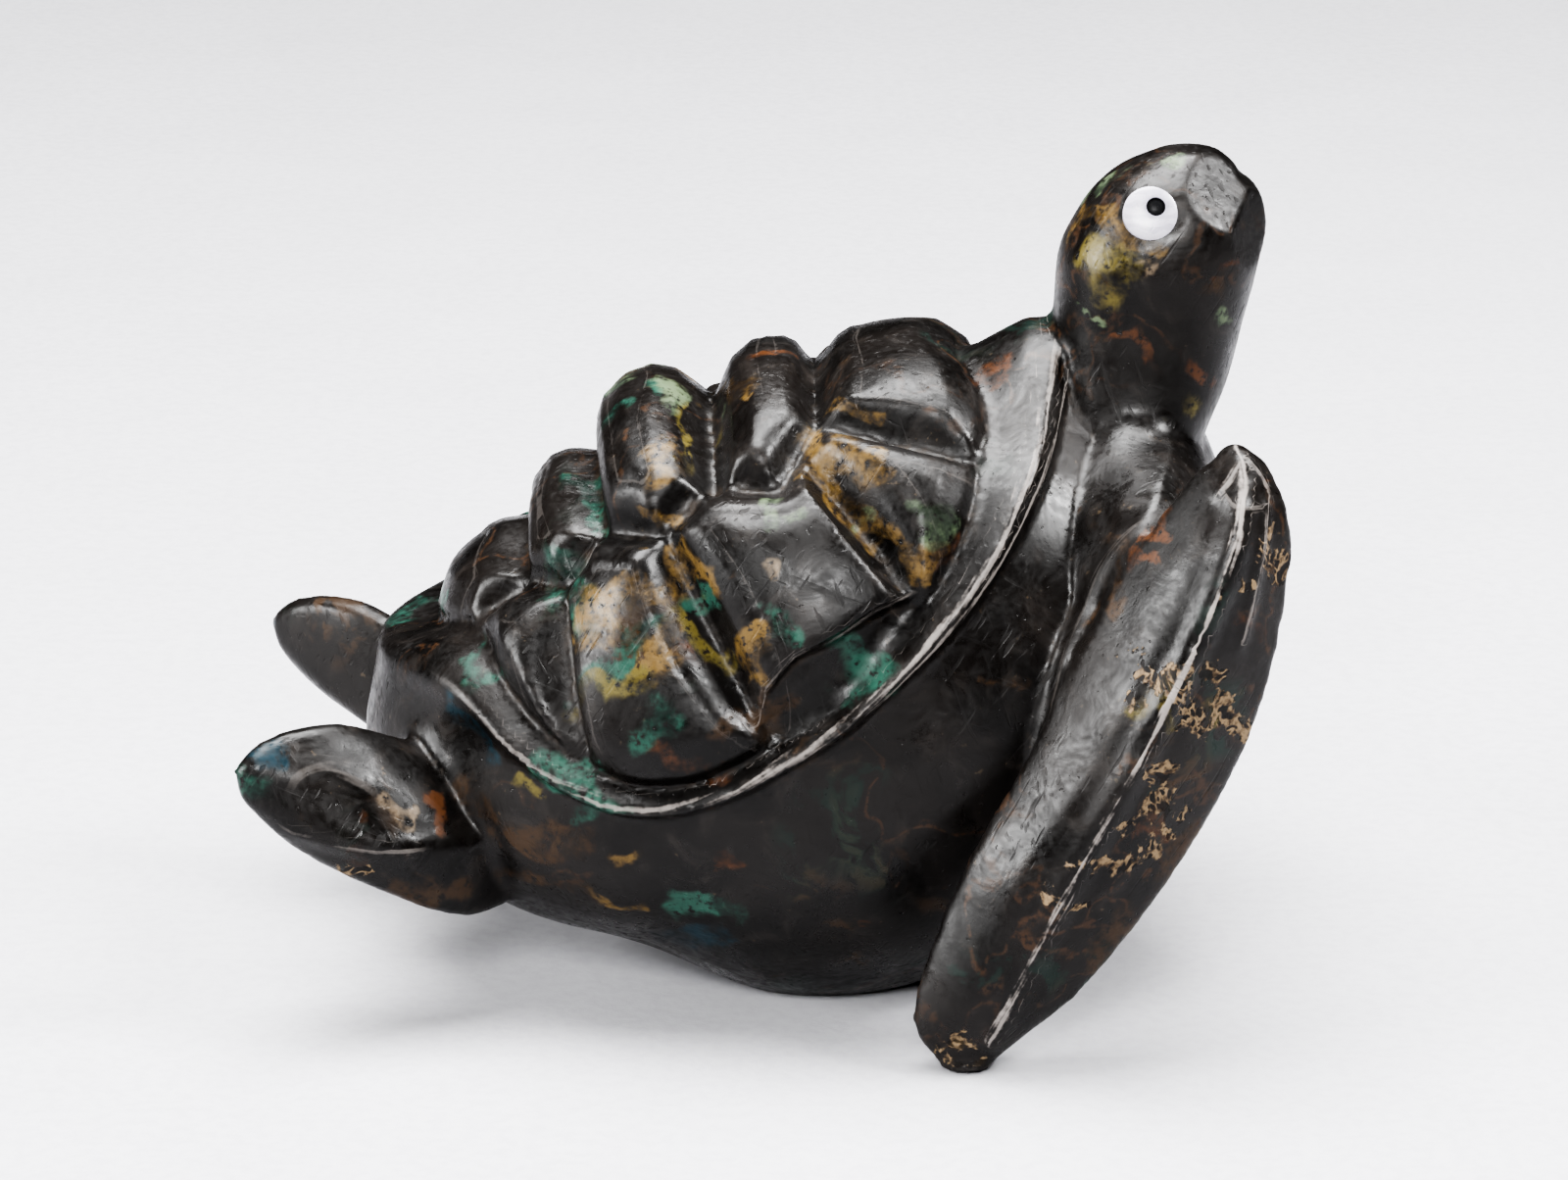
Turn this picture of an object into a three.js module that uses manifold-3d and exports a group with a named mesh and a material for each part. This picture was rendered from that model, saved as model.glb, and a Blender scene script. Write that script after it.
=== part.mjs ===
// A carved stone sea turtle with inlaid eyes: one stone solid, two eye rings and two pupils.
// Millimetres, +Z up, the turtle faces +X, and the ground is z = 0.
import * as THREE from 'three';
import { mergeVertices } from 'three/addons/utils/BufferGeometryUtils.js';
import Module from 'manifold-3d';

// Driving dimensions
const turtleLength = 60; // the free form is carved in sixtieths of this length
const eyeRingDiameter = 3.2;
const eyeRingDepth = 1.5;
const eyeRingProud = 0.3; // how far the domed ring stands out of the head
const pupilDiameter = 0.9;
const pupilProud = 0.08; // how far the pupil stands out of its hole
const glueGap = 0.1; // clearance round each inlaid piece

const unit = turtleLength / 60;

// Body: an egg round a centre. Its side outline has a radius every 30 degrees, from the chest over the back.
const bodyCentre = { x: 0.5, z: 18.5 };
const bodyOutline = [26, 25.5, 22.3, 19, 19.3, 18.8, 23, 23.6, 19.1, 20.1, 21, 21.6];
const bodyHalfWidth = 18.3;
const bodyRoundness = 2.1; // exponent of the cross-section, 2 is an ellipse
const headings = 60; // steps round the shell
const bellyRings = 8;

// Shell: polar angles about an axis that leans back, headings from the head (0) over the side to the tail
const shellLean = 25;
const rimAngle = [65.5, 73, 84.5, 92, 90.5, 67, 62]; // polar angle of the rim every 30 degrees of heading
const bandAngle = [12.5, 8.5, 5, 3.6, 4.6, 9, 3.5]; // width of the plain band inside the rim
const scuteRows = [0.16, 0.3, 0.43, 0.55, 0.66, 0.76, 0.85]; // rings of the scutes, as shares
const scuteEdge = [[8.5, 0], [2, -0.85], [0.7, -1.5]]; // degrees above the groove, lift
const band = [[0.1, -1.5], [0.45, -0.6], [0.72, 0.1], [1, -0.2]]; // share of the band, lift
const bandSwells = [ // at the nape and at the rump
  { heading: 0, spread: 26, lift: 1.5 },
  { heading: 180, spread: 40, lift: 2.4 }];
const belowRim = [[1.6, -0.95], [7, -0.8], [15, -0.3]]; // degrees below the rim, lift

// Seams between the scutes on the right side, as nodes of polar angle and heading
const keelNodes = [[38.3, 43.5], [44, 66], [35.5, 81], [42.5, 100], [36.5, 122], [47, 133], [46, 148],
  [53, 156]];
const keelSeam = { depth: 2.1, width: 4.8 };
const saddles = [ // across the back: the side node and the place on the midline
  { node: 0, middle: [29, 0], depth: 2.1, width: 4.6 },
  { node: 2, middle: [8.5, 0], depth: 3.2, width: 6.8 },
  { node: 4, middle: [17.5, 180], depth: 2.6, width: 5.6 },
  { node: 6, middle: [35.5, 180], depth: 1.8, width: 4.6 }];
const flankCuts = [ // wheel-cut wedges between the scutes of the flank
  { from: [38.3, 43.3], to: [68, 31], depth: 2.4, width: 4.4 },
  { from: [41, 54.5], to: [79, 57.5], depth: 2.6, width: 5.6 },
  { from: [42.3, 99.5], to: [87, 93.5], depth: 2.8, width: 6.4 },
  { from: [46.8, 133], to: [83.5, 126], depth: 2.3, width: 4.4 }];
const grooveNarrow = { width: 0.22, depth: 0.35 }; // where a groove's floor meets its wide bevel, as shares
const grooveOverlap = 0.04; // share of its length that a groove runs past each end

// Neck and head: level sections, each with its height, middle, half depth and half width
const neckSections = [[23, 18.8, 4.6, 9], [29, 19.2, 4.7, 7.6], [32.2, 19.6, 4.8, 6.6],
  [35.7, 20.5, 5.2, 5.7], [39, 21, 5.5, 5.35], [42.8, 21.6, 5.8, 5.35], [45, 22.25, 5.5, 4.95],
  [46.7, 22.55, 4.65, 4.2], [48, 22.7, 3.3, 3], [49.15, 23.2, 1.6, 1.3]];
const neckRoundness = 2.3;
const eyePlace = { x: 20.8, z: 46.3 };
const eyeUpturn = 26; // degrees
const eyeSides = 20;
const pupilOffset = { forward: 0.2, up: 0.22 }; // share of the ring's radius
const beakFacet = { place: [24.3, -3.6, 46.5], normal: [0.42, -0.62, 0.66] };
const mouthNotch = [[25.5, 50.5], [27.2, 50.5], [26.4, 45.3]]; // side view

// Shoulders: swellings that carry the front flippers
const yoke = { x: 20.2, z: 25.5, halfDepth: 5.8, halfWidth: 17, halfHeight: 9.5 }; // shoulder to shoulder
const shoulder = { x: 17.8, y: 12.6, z: 20, lean: 25.5, halfWidth: 4.2, halfDepth: 5.2, halfHeight: 10 };

// Front flipper, right side: its two edges and the crest of its outer face, from the shoulder to the ground
const frontTrailing = [[24.2, -14.6, 35.3], [21.9, -14.9, 33.2], [18.1, -15.8, 27.5], [14.3, -17, 19.6],
  [10.2, -18, 12.3], [7.4, -18.8, 5], [7.4, -19.2, 1.7], [9.3, -19.4, 0]];
const frontLeading = [[25.2, -14.8, 36], [27.3, -15.2, 34.5], [28.5, -15.8, 30], [27, -17, 21],
  [22.8, -18.2, 12.4], [17.6, -19.1, 5.4], [14.4, -19.4, 2.6], [11.8, -19.6, 0.3]];
const frontCrest = [[24.8, -15.4, 35.9], [24.9, -17.8, 34.3], [24.1, -20.2, 29.4], [20.6, -21.5, 21.2],
  [16.6, -21.8, 13.4], [12.9, -21.4, 5.2], [11.6, -20.8, 2.4], [10.8, -20, 0.1]];
const frontThickness = 4.6;
const frontSwell = { behind: 0.9, ahead: 0.5 }; // of the outer faces behind and ahead of the crest
const leftFlipperLean = 7.5; // degrees that the left front flipper leans further back

// Rear flipper, right side: upper edge, outer crest, lower edge and the hidden inner edge, from body to tip
const rearUpper = [[-17, -4, 13], [-23, -8.8, 16.6], [-26.5, -10.8, 18.1], [-30, -12.7, 17.5],
  [-31.4, -13.7, 16]];
const rearCrest = [[-13, -8, 11.5], [-18.4, -12.8, 11.2], [-23, -14.9, 11.9], [-28.5, -15, 13.7],
  [-31.5, -14.2, 15.3]];
const rearLower = [[-13, -6, 8], [-17.4, -11.6, 6.5], [-22, -13, 8], [-28, -13.6, 11.3],
  [-31.2, -13.9, 14.6]];
const rearInner = [[-13, -3, 8], [-18.5, -6, 8.3], [-24, -8.6, 10.6], [-28.6, -11.4, 13.2],
  [-31.1, -13.4, 15]];
const rearSwell = { top: 0.9, side: 0.5, under: 0.3 };

const beyond = 30; // reach of the cutters past what they cut

const V3 = THREE.Vector3;
const radians = THREE.MathUtils.degToRad;
const wasm = await Module();
wasm.setup();

/** Reads a table of values at equal steps round a full turn as a smooth curve. */
function roundTable(values, degrees) {
  const place = (THREE.MathUtils.euclideanModulo(degrees, 360) / 360) * values.length;
  const i = Math.floor(place);
  const f = place - i;
  const [a, b, c, d] = [-1, 0, 1, 2].map((k) => values[(i + k + values.length) % values.length]);
  return b + 0.5 * f * (c - a + f * (2 * a - 5 * b + 4 * c - d + f * (3 * (b - c) + d - a)));
}

/** The same for a table that runs from the head to the tail and is mirrored on the left side. */
function headingTable(values, degrees) {
  return roundTable([...values, ...values.slice(1, -1).reverse()], degrees);
}

/** A closed surface through rings of points. A ring of one point closes to a tip, others get a flat cap. */
function skin(rings) {
  const points = rings.flat();
  const faces = [];
  const starts = rings.map((ring, i) => rings.slice(0, i).reduce((sum, r) => sum + r.length, 0));
  for (let i = 0; i + 1 < rings.length; i += 1) {
    const count = Math.max(rings[i].length, rings[i + 1].length);
    for (let j = 0; j < count; j += 1) {
      const next = (j + 1) % count;
      const [a, b] = rings[i].length > 1 ? [starts[i] + j, starts[i] + next] : [starts[i], starts[i]];
      const [c, d] = rings[i + 1].length > 1 ? [starts[i + 1] + j, starts[i + 1] + next]
        : [starts[i + 1], starts[i + 1]];
      if (a !== b) faces.push(a, b, d);
      if (c !== d) faces.push(a, d, c);
    }
  }
  for (const [ring, start, flip] of [[rings[0], starts[0], false], [rings.at(-1), starts.at(-1), true]]) {
    if (ring.length === 1) continue;
    const centre = points.push(ring.reduce((sum, p) => sum.add(p), new V3()).divideScalar(ring.length)) - 1;
    ring.forEach((_, j) => {
      const [p, q] = [start + j, start + ((j + 1) % ring.length)];
      faces.push(...(flip ? [centre, p, q] : [centre, q, p]));
    });
  }
  const geometry = new THREE.BufferGeometry();
  const coordinates = points.flatMap((p) => p.toArray());
  geometry.setAttribute('position', new THREE.Float32BufferAttribute(coordinates, 3));
  geometry.setIndex(faces);
  return geometry;
}

/** A solid for joining and cutting, with its faces turned outward. */
function toSolid(geometry) {
  geometry.deleteAttribute('normal');
  geometry.deleteAttribute('uv');
  const merged = mergeVertices(geometry);
  const vertProperties = new Float32Array(merged.attributes.position.array);
  const triVerts = new Uint32Array(merged.index.array);
  const corner = (k) => new V3().fromArray(vertProperties, triVerts[k] * 3);
  let volume = 0;
  for (let k = 0; k < triVerts.length; k += 3) {
    volume += corner(k).cross(corner(k + 1)).dot(corner(k + 2));
  }
  if (volume < 0) triVerts.reverse();
  return new wasm.Manifold(new wasm.Mesh({ numProp: 3, vertProperties, triVerts }));
}

/** The faceted geometry of a solid. */
function toGeometry(solid) {
  const { vertProperties, triVerts } = solid.getMesh();
  const geometry = new THREE.BufferGeometry();
  geometry.setAttribute('position', new THREE.BufferAttribute(vertProperties, 3));
  geometry.setIndex(new THREE.BufferAttribute(triVerts, 1));
  return geometry;
}

const mirrored = (geometry) => geometry.clone().applyMatrix4(new THREE.Matrix4().makeScale(1, -1, 1));
const carved = (geometry) => toSolid(geometry.clone().scale(unit, unit, unit));
const bothSides = (geometry) => carved(mirrored(geometry)).add(carved(geometry));

const shellPole = new V3(-Math.sin(radians(shellLean)), 0, Math.cos(radians(shellLean)));
const shellFront = new V3(Math.cos(radians(shellLean)), 0, Math.sin(radians(shellLean)));

/** The direction from the body's centre at a polar angle and a heading, up to 180 on the right. */
function direction([polar, heading]) {
  const side = new V3(0, -Math.sin(radians(polar)) * Math.sin(radians(heading)), 0);
  return side.addScaledVector(shellPole, Math.cos(radians(polar)))
    .addScaledVector(shellFront, Math.sin(radians(polar)) * Math.cos(radians(heading)));
}

/** The point of the egg in a direction, lifted off its surface. */
function onBody(towards, lift = 0) {
  const outline = roundTable(bodyOutline, THREE.MathUtils.radToDeg(Math.atan2(towards.z, towards.x)));
  const along = Math.hypot(towards.x, towards.z) / outline;
  const across = Math.abs(towards.y) / bodyHalfWidth;
  const radius = (along ** bodyRoundness + across ** bodyRoundness) ** (-1 / bodyRoundness);
  return towards.clone().multiplyScalar(radius + lift).add(new V3(bodyCentre.x, 0, bodyCentre.z));
}

/** How much the band swells at a heading. */
function bandSwell(heading) {
  return bandSwells.reduce((sum, swell) => {
    const away = Math.abs(THREE.MathUtils.euclideanModulo(heading - swell.heading + 180, 360) - 180);
    const share = Math.min(away / swell.spread, 1);
    return sum + swell.lift * Math.cos(share * (Math.PI / 2)) ** 2;
  }, 0);
}

/** The egg with its shell's groove, band and rim. */
function body() {
  const rows = [];
  const ringAt = (place) => Array.from({ length: headings }, (_, k) => {
    const heading = (k * 360) / headings;
    const rim = headingTable(rimAngle, heading);
    const groove = rim - headingTable(bandAngle, heading);
    const [polar, lift] = place(rim, groove, heading);
    return onBody(direction([polar, heading]), lift);
  });
  rows.push([onBody(shellPole)]);
  for (const share of scuteRows) {
    rows.push(ringAt((rim, groove) => [share * (groove - scuteEdge[0][0]), 0]));
  }
  for (const [above, lift] of scuteEdge) {
    rows.push(ringAt((rim, groove) => [groove - above, lift]));
  }
  for (const [share, lift] of band) {
    rows.push(ringAt((rim, groove, heading) => {
      return [groove + share * (rim - groove), lift + share * bandSwell(heading)];
    }));
  }
  for (const [below, lift] of belowRim) {
    rows.push(ringAt((rim, groove, heading) => [rim + below, lift + bandSwell(heading)]));
  }
  const last = belowRim.at(-1)[0];
  for (let i = 1; i < bellyRings; i += 1) {
    rows.push(ringAt((rim) => [rim + last + (i / bellyRings) * (180 - rim - last), 0]));
  }
  rows.push([onBody(shellPole.clone().negate())]);
  return carved(skin(rows));
}

/** A groove of V section with wide shoulders, along the body from one place to another. */
function groove(from, to, { depth, width }, taper) {
  const steps = Math.max(4, Math.round(from.angleTo(to) / 0.1));
  const clear = 1.2; // height of the cutter above the surface
  const rings = [];
  for (let i = 0; i <= steps; i += 1) {
    const share = i / steps;
    const place = from.clone().lerp(to, share + grooveOverlap * (2 * share - 1)).normalize();
    const side = to.clone().sub(from).cross(place).normalize();
    const size = taper(share);
    const bevelDepth = grooveNarrow.depth * depth * size;
    const narrow = grooveNarrow.width * width * size;
    const wide = 0.5 * width * size;
    const top = wide + ((wide - narrow) * clear) / Math.max(bevelDepth, 0.35);
    const section = [[0, -depth * size], [narrow, -bevelDepth], [top, clear], [-top, clear],
      [-narrow, -bevelDepth]];
    rings.push(section.map(([x, y]) => onBody(place, y).addScaledVector(side, x)));
  }
  return skin(rings);
}

/** Every seam and wedge of the shell. */
function scuteGrooves() {
  const cutters = [];
  const even = (share) => 1 - 0.15 * Math.abs(2 * share - 1);
  const wedge = (share) => 0.06 + 0.94 * Math.sin(Math.PI * (0.1 + 0.9 * share)) ** 0.55; // fades at the rim
  const nodes = keelNodes.map(direction);
  nodes.slice(1).forEach((to, i) => cutters.push(bothSides(groove(nodes[i], to, keelSeam, even))));
  for (const saddle of saddles) {
    cutters.push(bothSides(groove(nodes[saddle.node], direction(saddle.middle), saddle, even)));
  }
  for (const cut of flankCuts) {
    cutters.push(bothSides(groove(direction(cut.from), direction(cut.to), cut, wedge)));
  }
  return cutters.reduce((all, cutter) => all.add(cutter));
}

/** A point on a level section of the neck. */
function onNeck([height, middle, halfDepth, halfWidth], turn) {
  const round = (value) => Math.sign(value) * Math.abs(value) ** (2 / neckRoundness);
  return new V3(middle + halfDepth * round(Math.cos(turn)), halfWidth * round(Math.sin(turn)), height);
}

/** Neck and head in one column. */
function neck() {
  const sides = 24;
  const rings = neckSections.map((section) => (
    Array.from({ length: sides }, (_, k) => onNeck(section, (k / sides) * 2 * Math.PI))));
  return carved(skin(rings));
}

/** A smooth run of points through a few places. */
function line(places, count) {
  return new THREE.CatmullRomCurve3(places.map((p) => new V3(...p))).getPoints(count - 1);
}

/** Right front flipper: a leaf with a crest along its outer face. */
function frontFlipper() {
  const count = 15;
  const [trailing, leading, crest] = [frontTrailing, frontLeading, frontCrest]
    .map((places) => line(places, count));
  const rings = trailing.map((edge, i) => {
    const swell = Math.sin(Math.PI * (0.12 + (0.76 * i) / (count - 1))); // fullest halfway down
    const inner = edge.clone().lerp(leading[i], 0.5);
    inner.y = crest[i].y + frontThickness * swell;
    const behind = edge.clone().lerp(crest[i], 0.5);
    behind.y -= frontSwell.behind * swell;
    const ahead = crest[i].clone().lerp(leading[i], 0.5);
    ahead.y -= frontSwell.ahead * swell;
    const [innerAhead, innerBehind] = [leading[i], edge].map((side) => inner.clone().lerp(side, 0.4));
    return [edge, behind, crest[i], ahead, leading[i], innerAhead, inner, innerBehind];
  });
  return skin(rings);
}

/** Right rear flipper: a thick leaf with a crest between its top and its side. */
function rearFlipper() {
  const count = 9;
  const edges = [rearUpper, rearCrest, rearLower, rearInner].map((places) => line(places, count));
  const rings = edges[0].map((upper, i) => {
    const [, crest, lower, inner] = edges.map((edge) => edge[i]);
    const top = upper.clone().lerp(crest, 0.45).add(new V3(0, -rearSwell.side, rearSwell.top));
    const under = lower.clone().lerp(inner, 0.5).add(new V3(0, 0, -rearSwell.under));
    return [upper, top, crest, lower, under, inner];
  });
  return skin(rings);
}

/** The left front flipper mirrors the right one and leans further back about its foot. */
function leftFlipper() {
  const foot = frontCrest.at(-1)[0];
  return mirrored(frontFlipper()).translate(-foot, 0, 0)
    .rotateY(radians(-leftFlipperLean)).translate(foot, 0, 0);
}

/** Right shoulder: a long swelling under the root of the flipper. */
function shoulderPad() {
  return new THREE.SphereGeometry(1, 18, 12).rotateX(Math.PI / 2)
    .scale(shoulder.halfWidth, shoulder.halfDepth, shoulder.halfHeight)
    .rotateY(radians(shoulder.lean)).translate(shoulder.x, -shoulder.y, shoulder.z);
}

/** The breadth of the chest between the shoulders. */
function shoulderYoke() {
  return carved(new THREE.SphereGeometry(1, 24, 14)
    .scale(yoke.halfDepth, yoke.halfWidth, yoke.halfHeight).translate(yoke.x, 0, yoke.z));
}

/** A block whose face cuts a flat facet through a place, square to a direction. */
function facetBlock({ place, normal }) {
  const turn = new THREE.Quaternion().setFromUnitVectors(new V3(0, 0, 1), new V3(...normal).normalize());
  return new THREE.BoxGeometry(beyond, beyond, beyond).translate(0, 0, beyond / 2)
    .applyQuaternion(turn).translate(...place);
}

/** The wedge that opens the mouth. */
function mouthWedge() {
  const outline = new THREE.Shape(mouthNotch.map(([x, z]) => new THREE.Vector2(x, z)));
  const wedge = new THREE.ExtrudeGeometry(outline, { depth: beyond, bevelEnabled: false });
  return carved(wedge.rotateX(Math.PI / 2).translate(0, beyond / 2, 0));
}

/** Where the right eye sits: on the head's side, facing out and up. */
function eyeMatrix() {
  const above = neckSections.findIndex(([height]) => height > eyePlace.z);
  const [low, high] = [neckSections[above - 1], neckSections[above]];
  const share = (eyePlace.z - low[0]) / (high[0] - low[0]);
  const [, middle, halfDepth, halfWidth] = low.map((value, i) => value + share * (high[i] - value));
  const along = Math.abs(eyePlace.x - middle) / halfDepth;
  const across = halfWidth * (1 - along ** neckRoundness) ** (1 / neckRoundness);
  const turn = radians(eyeUpturn);
  return new THREE.Matrix4().makeBasis(new V3(1, 0, 0), new V3(0, Math.sin(turn), Math.cos(turn)),
    new V3(0, -Math.cos(turn), Math.sin(turn)))
    .setPosition(eyePlace.x * unit, -across * unit, eyePlace.z * unit);
}

/** A round post on the eye's axis, between two heights above the head's surface. */
function eyePost(radius, bottom, top, forward = 0, up = 0) {
  return new THREE.CylinderGeometry(radius, radius, top - bottom, eyeSides).rotateX(Math.PI / 2)
    .translate(forward, up, (top + bottom) / 2).applyMatrix4(eyeMatrix());
}

const ringRadius = eyeRingDiameter / 2;
const ringFoot = eyeRingProud - eyeRingDepth;
const pupilAt = [pupilOffset.forward * ringRadius, pupilOffset.up * ringRadius];
const ringDome = [[1, 0.1], [0.9, 0.55], [0.65, 0.85], [0, 1]]; // shares of the radius and of the rise

/** The socket of the right eye. */
function eyeSocket() {
  return eyePost(ringRadius + glueGap, ringFoot - glueGap, beyond / 3);
}

/** The right eye's ring: a domed bead with a hole for the pupil. */
function eyeRing() {
  const dome = ringDome.map(([r, y]) => [r * ringRadius, y * eyeRingProud]);
  const profile = [[0, ringFoot], [ringRadius, ringFoot], ...dome];
  const bead = new THREE.LatheGeometry(profile.map(([r, y]) => new THREE.Vector2(r, y)), eyeSides)
    .rotateX(Math.PI / 2).applyMatrix4(eyeMatrix());
  const hole = eyePost(pupilDiameter / 2 + glueGap, ringFoot - 1, eyeRingProud + 1, ...pupilAt);
  return toGeometry(toSolid(bead).subtract(toSolid(hole)));
}

/** The right eye's pupil: a dot of black stone. */
function eyePupil() {
  return toGeometry(toSolid(eyePost(pupilDiameter / 2, ringFoot, eyeRingProud + pupilProud, ...pupilAt)));
}

const wide = 4 * turtleLength;
const ground = toSolid(new THREE.BoxGeometry(wide, wide, wide).translate(0, 0, -wide / 2));
const head = neck().subtract(bothSides(facetBlock(beakFacet))).subtract(mouthWedge());
const stone = body().subtract(scuteGrooves())
  .add(head)
  .add(shoulderYoke()).add(bothSides(shoulderPad()))
  .add(carved(frontFlipper())).add(carved(leftFlipper()))
  .add(bothSides(rearFlipper()))
  .subtract(ground)
  .subtract(toSolid(eyeSocket())).subtract(toSolid(mirrored(eyeSocket())));

const stoneFinish = { color: 0x2b2724, roughness: 0.3, metalness: 0 };
const shellFinish = { color: 0xe9e6ea, roughness: 0.35, metalness: 0 };
const jetFinish = { color: 0x0b0b0c, roughness: 0.2, metalness: 0 };

const group = new THREE.Group();

/** Adds a named piece of one finish to the model. */
function piece(name, geometry, finish) {
  const mesh = new THREE.Mesh(geometry, new THREE.MeshStandardMaterial(finish));
  mesh.name = name;
  group.add(mesh);
}

piece('turtle', toGeometry(stone), stoneFinish);
piece('right_eye_ring', eyeRing(), shellFinish);
piece('right_eye_pupil', eyePupil(), jetFinish);
piece('left_eye_ring', toGeometry(toSolid(mirrored(eyeRing()))), shellFinish);
piece('left_eye_pupil', toGeometry(toSolid(mirrored(eyePupil()))), jetFinish);

// The origin is on the ground under the middle of the turtle
const box = new THREE.Box3().setFromObject(group);
group.position.set(-(box.min.x + box.max.x) / 2, -(box.min.y + box.max.y) / 2, -box.min.z);

export default group;
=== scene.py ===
import math

import bpy
import numpy as np
from mathutils import Matrix, Vector, noise


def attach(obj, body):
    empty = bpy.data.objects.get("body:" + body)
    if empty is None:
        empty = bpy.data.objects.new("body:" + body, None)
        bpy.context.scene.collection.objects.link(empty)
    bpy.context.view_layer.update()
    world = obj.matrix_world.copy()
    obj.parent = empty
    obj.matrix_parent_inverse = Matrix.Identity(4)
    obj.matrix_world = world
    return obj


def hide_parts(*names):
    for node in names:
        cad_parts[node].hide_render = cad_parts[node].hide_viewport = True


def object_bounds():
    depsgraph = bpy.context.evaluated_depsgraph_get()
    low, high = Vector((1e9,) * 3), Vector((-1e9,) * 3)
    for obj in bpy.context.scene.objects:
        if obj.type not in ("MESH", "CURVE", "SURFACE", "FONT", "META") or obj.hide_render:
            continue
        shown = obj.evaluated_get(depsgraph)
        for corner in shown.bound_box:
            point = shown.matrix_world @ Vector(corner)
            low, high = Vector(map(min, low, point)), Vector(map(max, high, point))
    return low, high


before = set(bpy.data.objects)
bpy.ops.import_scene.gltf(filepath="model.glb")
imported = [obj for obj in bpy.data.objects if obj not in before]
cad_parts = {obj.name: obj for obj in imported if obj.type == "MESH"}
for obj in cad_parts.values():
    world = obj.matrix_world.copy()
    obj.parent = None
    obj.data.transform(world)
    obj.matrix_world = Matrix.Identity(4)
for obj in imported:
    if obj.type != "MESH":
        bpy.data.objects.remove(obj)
solidBounds = [[float(v) for v in corner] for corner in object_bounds()]
mm = 0.001


def deselectAll():
    bpy.ops.object.select_all(action="DESELECT")


def makeActive(piece):
    deselectAll()
    piece.select_set(True)
    bpy.context.view_layer.objects.active = piece


def applyModifier(piece, kind, **values):
    makeActive(piece)
    modifier = piece.modifiers.new(kind.lower(), kind)
    for name, value in values.items():
        setattr(modifier, name, value)
    bpy.ops.object.modifier_apply(modifier=modifier.name)


# the body is an egg, and its shell has a groove, a band and a rim
body = {
    "centreX": 2.0,
    "centreZ": 18.5,
    "outline": [26, 25.5, 22.3, 19, 19.3, 18.8, 23, 23.6, 19.1, 20.1, 21, 21.6],  # radius every 30 degrees
    "halfWidth": 18.3,
    "roundness": 2.1,
    "shellLean": 25,
    "rim": [65.5, 73, 84.5, 92, 90.5, 67, 62],  # polar angle every 30 degrees of heading
    "bandWidth": [12.5, 8.5, 5, 3.6, 4.6, 9, 3.5],
    "scuteEdge": [[8.5, 0], [2, -0.85], [0.95, -1.45]],  # degrees above the groove, lift
    "band": [[0.14, -1.45], [0.45, -0.6], [0.72, 0.15], [1, -0.3]],  # share of the band, lift
    # the nape and the rump swell: heading, spread, and lift at each place of the band
    "swells": [[0, 22, [0.8, 2.35, 2.3, 1.35]], [180, 40, [0.34, 1.08, 1.73, 2.4]]],
    "belowRim": [[1.6, -0.95], [7, -0.8], [15, -0.3]],  # degrees below the rim, lift
    "bellyStep": 0.125,
    # the sharp lower ledge of the middle scute: polar angle and heading
    "ledge": [[74.4, 57], [73.4, 65], [73.9, 73], [73.9, 82], [77.1, 89.7], [82.9, 94.2]],
    "ledgeDepth": 1.35,
    "ledgeFall": (-0.2, 1.1),  # degrees over which it drops
    "ledgeEnds": (55.5, 58.5, 93, 96),  # headings where it begins and runs out
    "lowestGroove": -1.8,
}

# seams between the scutes of the right side, places as polar angle and heading
seams = {
    "keel": [[38.3, 43.5], [44, 66], [35.5, 81], [42.5, 100], [36.5, 122], [47, 133], [46, 148], [53, 156]],
    "keelCut": {"depth": 2.1, "width": 4.8},
    "saddles": [
        {"node": 0, "middle": [29, 0], "depth": 2.1, "width": 4.6},
        {"node": 2, "middle": [8.5, 0], "depth": 3.2, "width": 6.8},
        {"node": 4, "middle": [17.5, 180], "depth": 2.6, "width": 5.6},
        {"node": 6, "middle": [35.5, 180], "depth": 1.8, "width": 4.6},
    ],
    # the bevel on the tail side and on the head side are shares of the half width
    "flankCuts": [
        {"from": [38.3, 43.3], "to": [68, 31], "depth": 2.4, "width": 4.4, "tailBevel": 1.0, "headBevel": 0.7},
        {"from": [41, 54.5], "to": [79, 57.5], "depth": 2.6, "width": 5.6, "tailBevel": 0.55, "headBevel": 1.0},
        {"from": [42.3, 99.5], "to": [87, 93.5], "depth": 2.8, "width": 6.4, "tailBevel": 0.75, "headBevel": 1.0},
        {"from": [46.8, 133], "to": [83.5, 126], "depth": 2.3, "width": 4.4, "tailBevel": 1.0, "headBevel": 0.8},
    ],
    "floorWidth": 0.22,
    "floorDepth": 0.35,
    "floorRound": 0.35,
    "crown": 0.3,  # how far the scutes fall away to their seams
    "crownReach": 1.2,
}


def between(a, b, c, d, f):
    # a share f of the way from b to c, on a smooth line through all four
    return b + 0.5 * f * (c - a + f * (2 * a - 5 * b + 4 * c - d + f * (3 * (b - c) + d - a)))


def roundTable(values, degrees):
    table = np.array(values, float)
    place = (degrees % 360) / 360 * len(table)
    i = np.floor(place).astype(int)
    f = place - i
    return between(*[table[(i + k) % len(table)] for k in (-1, 0, 1, 2)], f)


def headingTable(values, degrees):
    return roundTable(values + values[1:-1][::-1], degrees)


def ramp(values, low, high):
    share = np.clip((values - low) / (high - low), 0, 1)
    return share * share * (3 - 2 * share)


def unitRows(rows):
    return rows / np.maximum(np.linalg.norm(rows, axis=1), 1e-9)[:, None]


def rowDot(a, b):
    return np.einsum("ij,ij->i", a, b)


lean = math.radians(body["shellLean"])
shellPole = np.array([-math.sin(lean), 0, math.cos(lean)])
shellFront = np.array([math.cos(lean), 0, math.sin(lean)])


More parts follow.
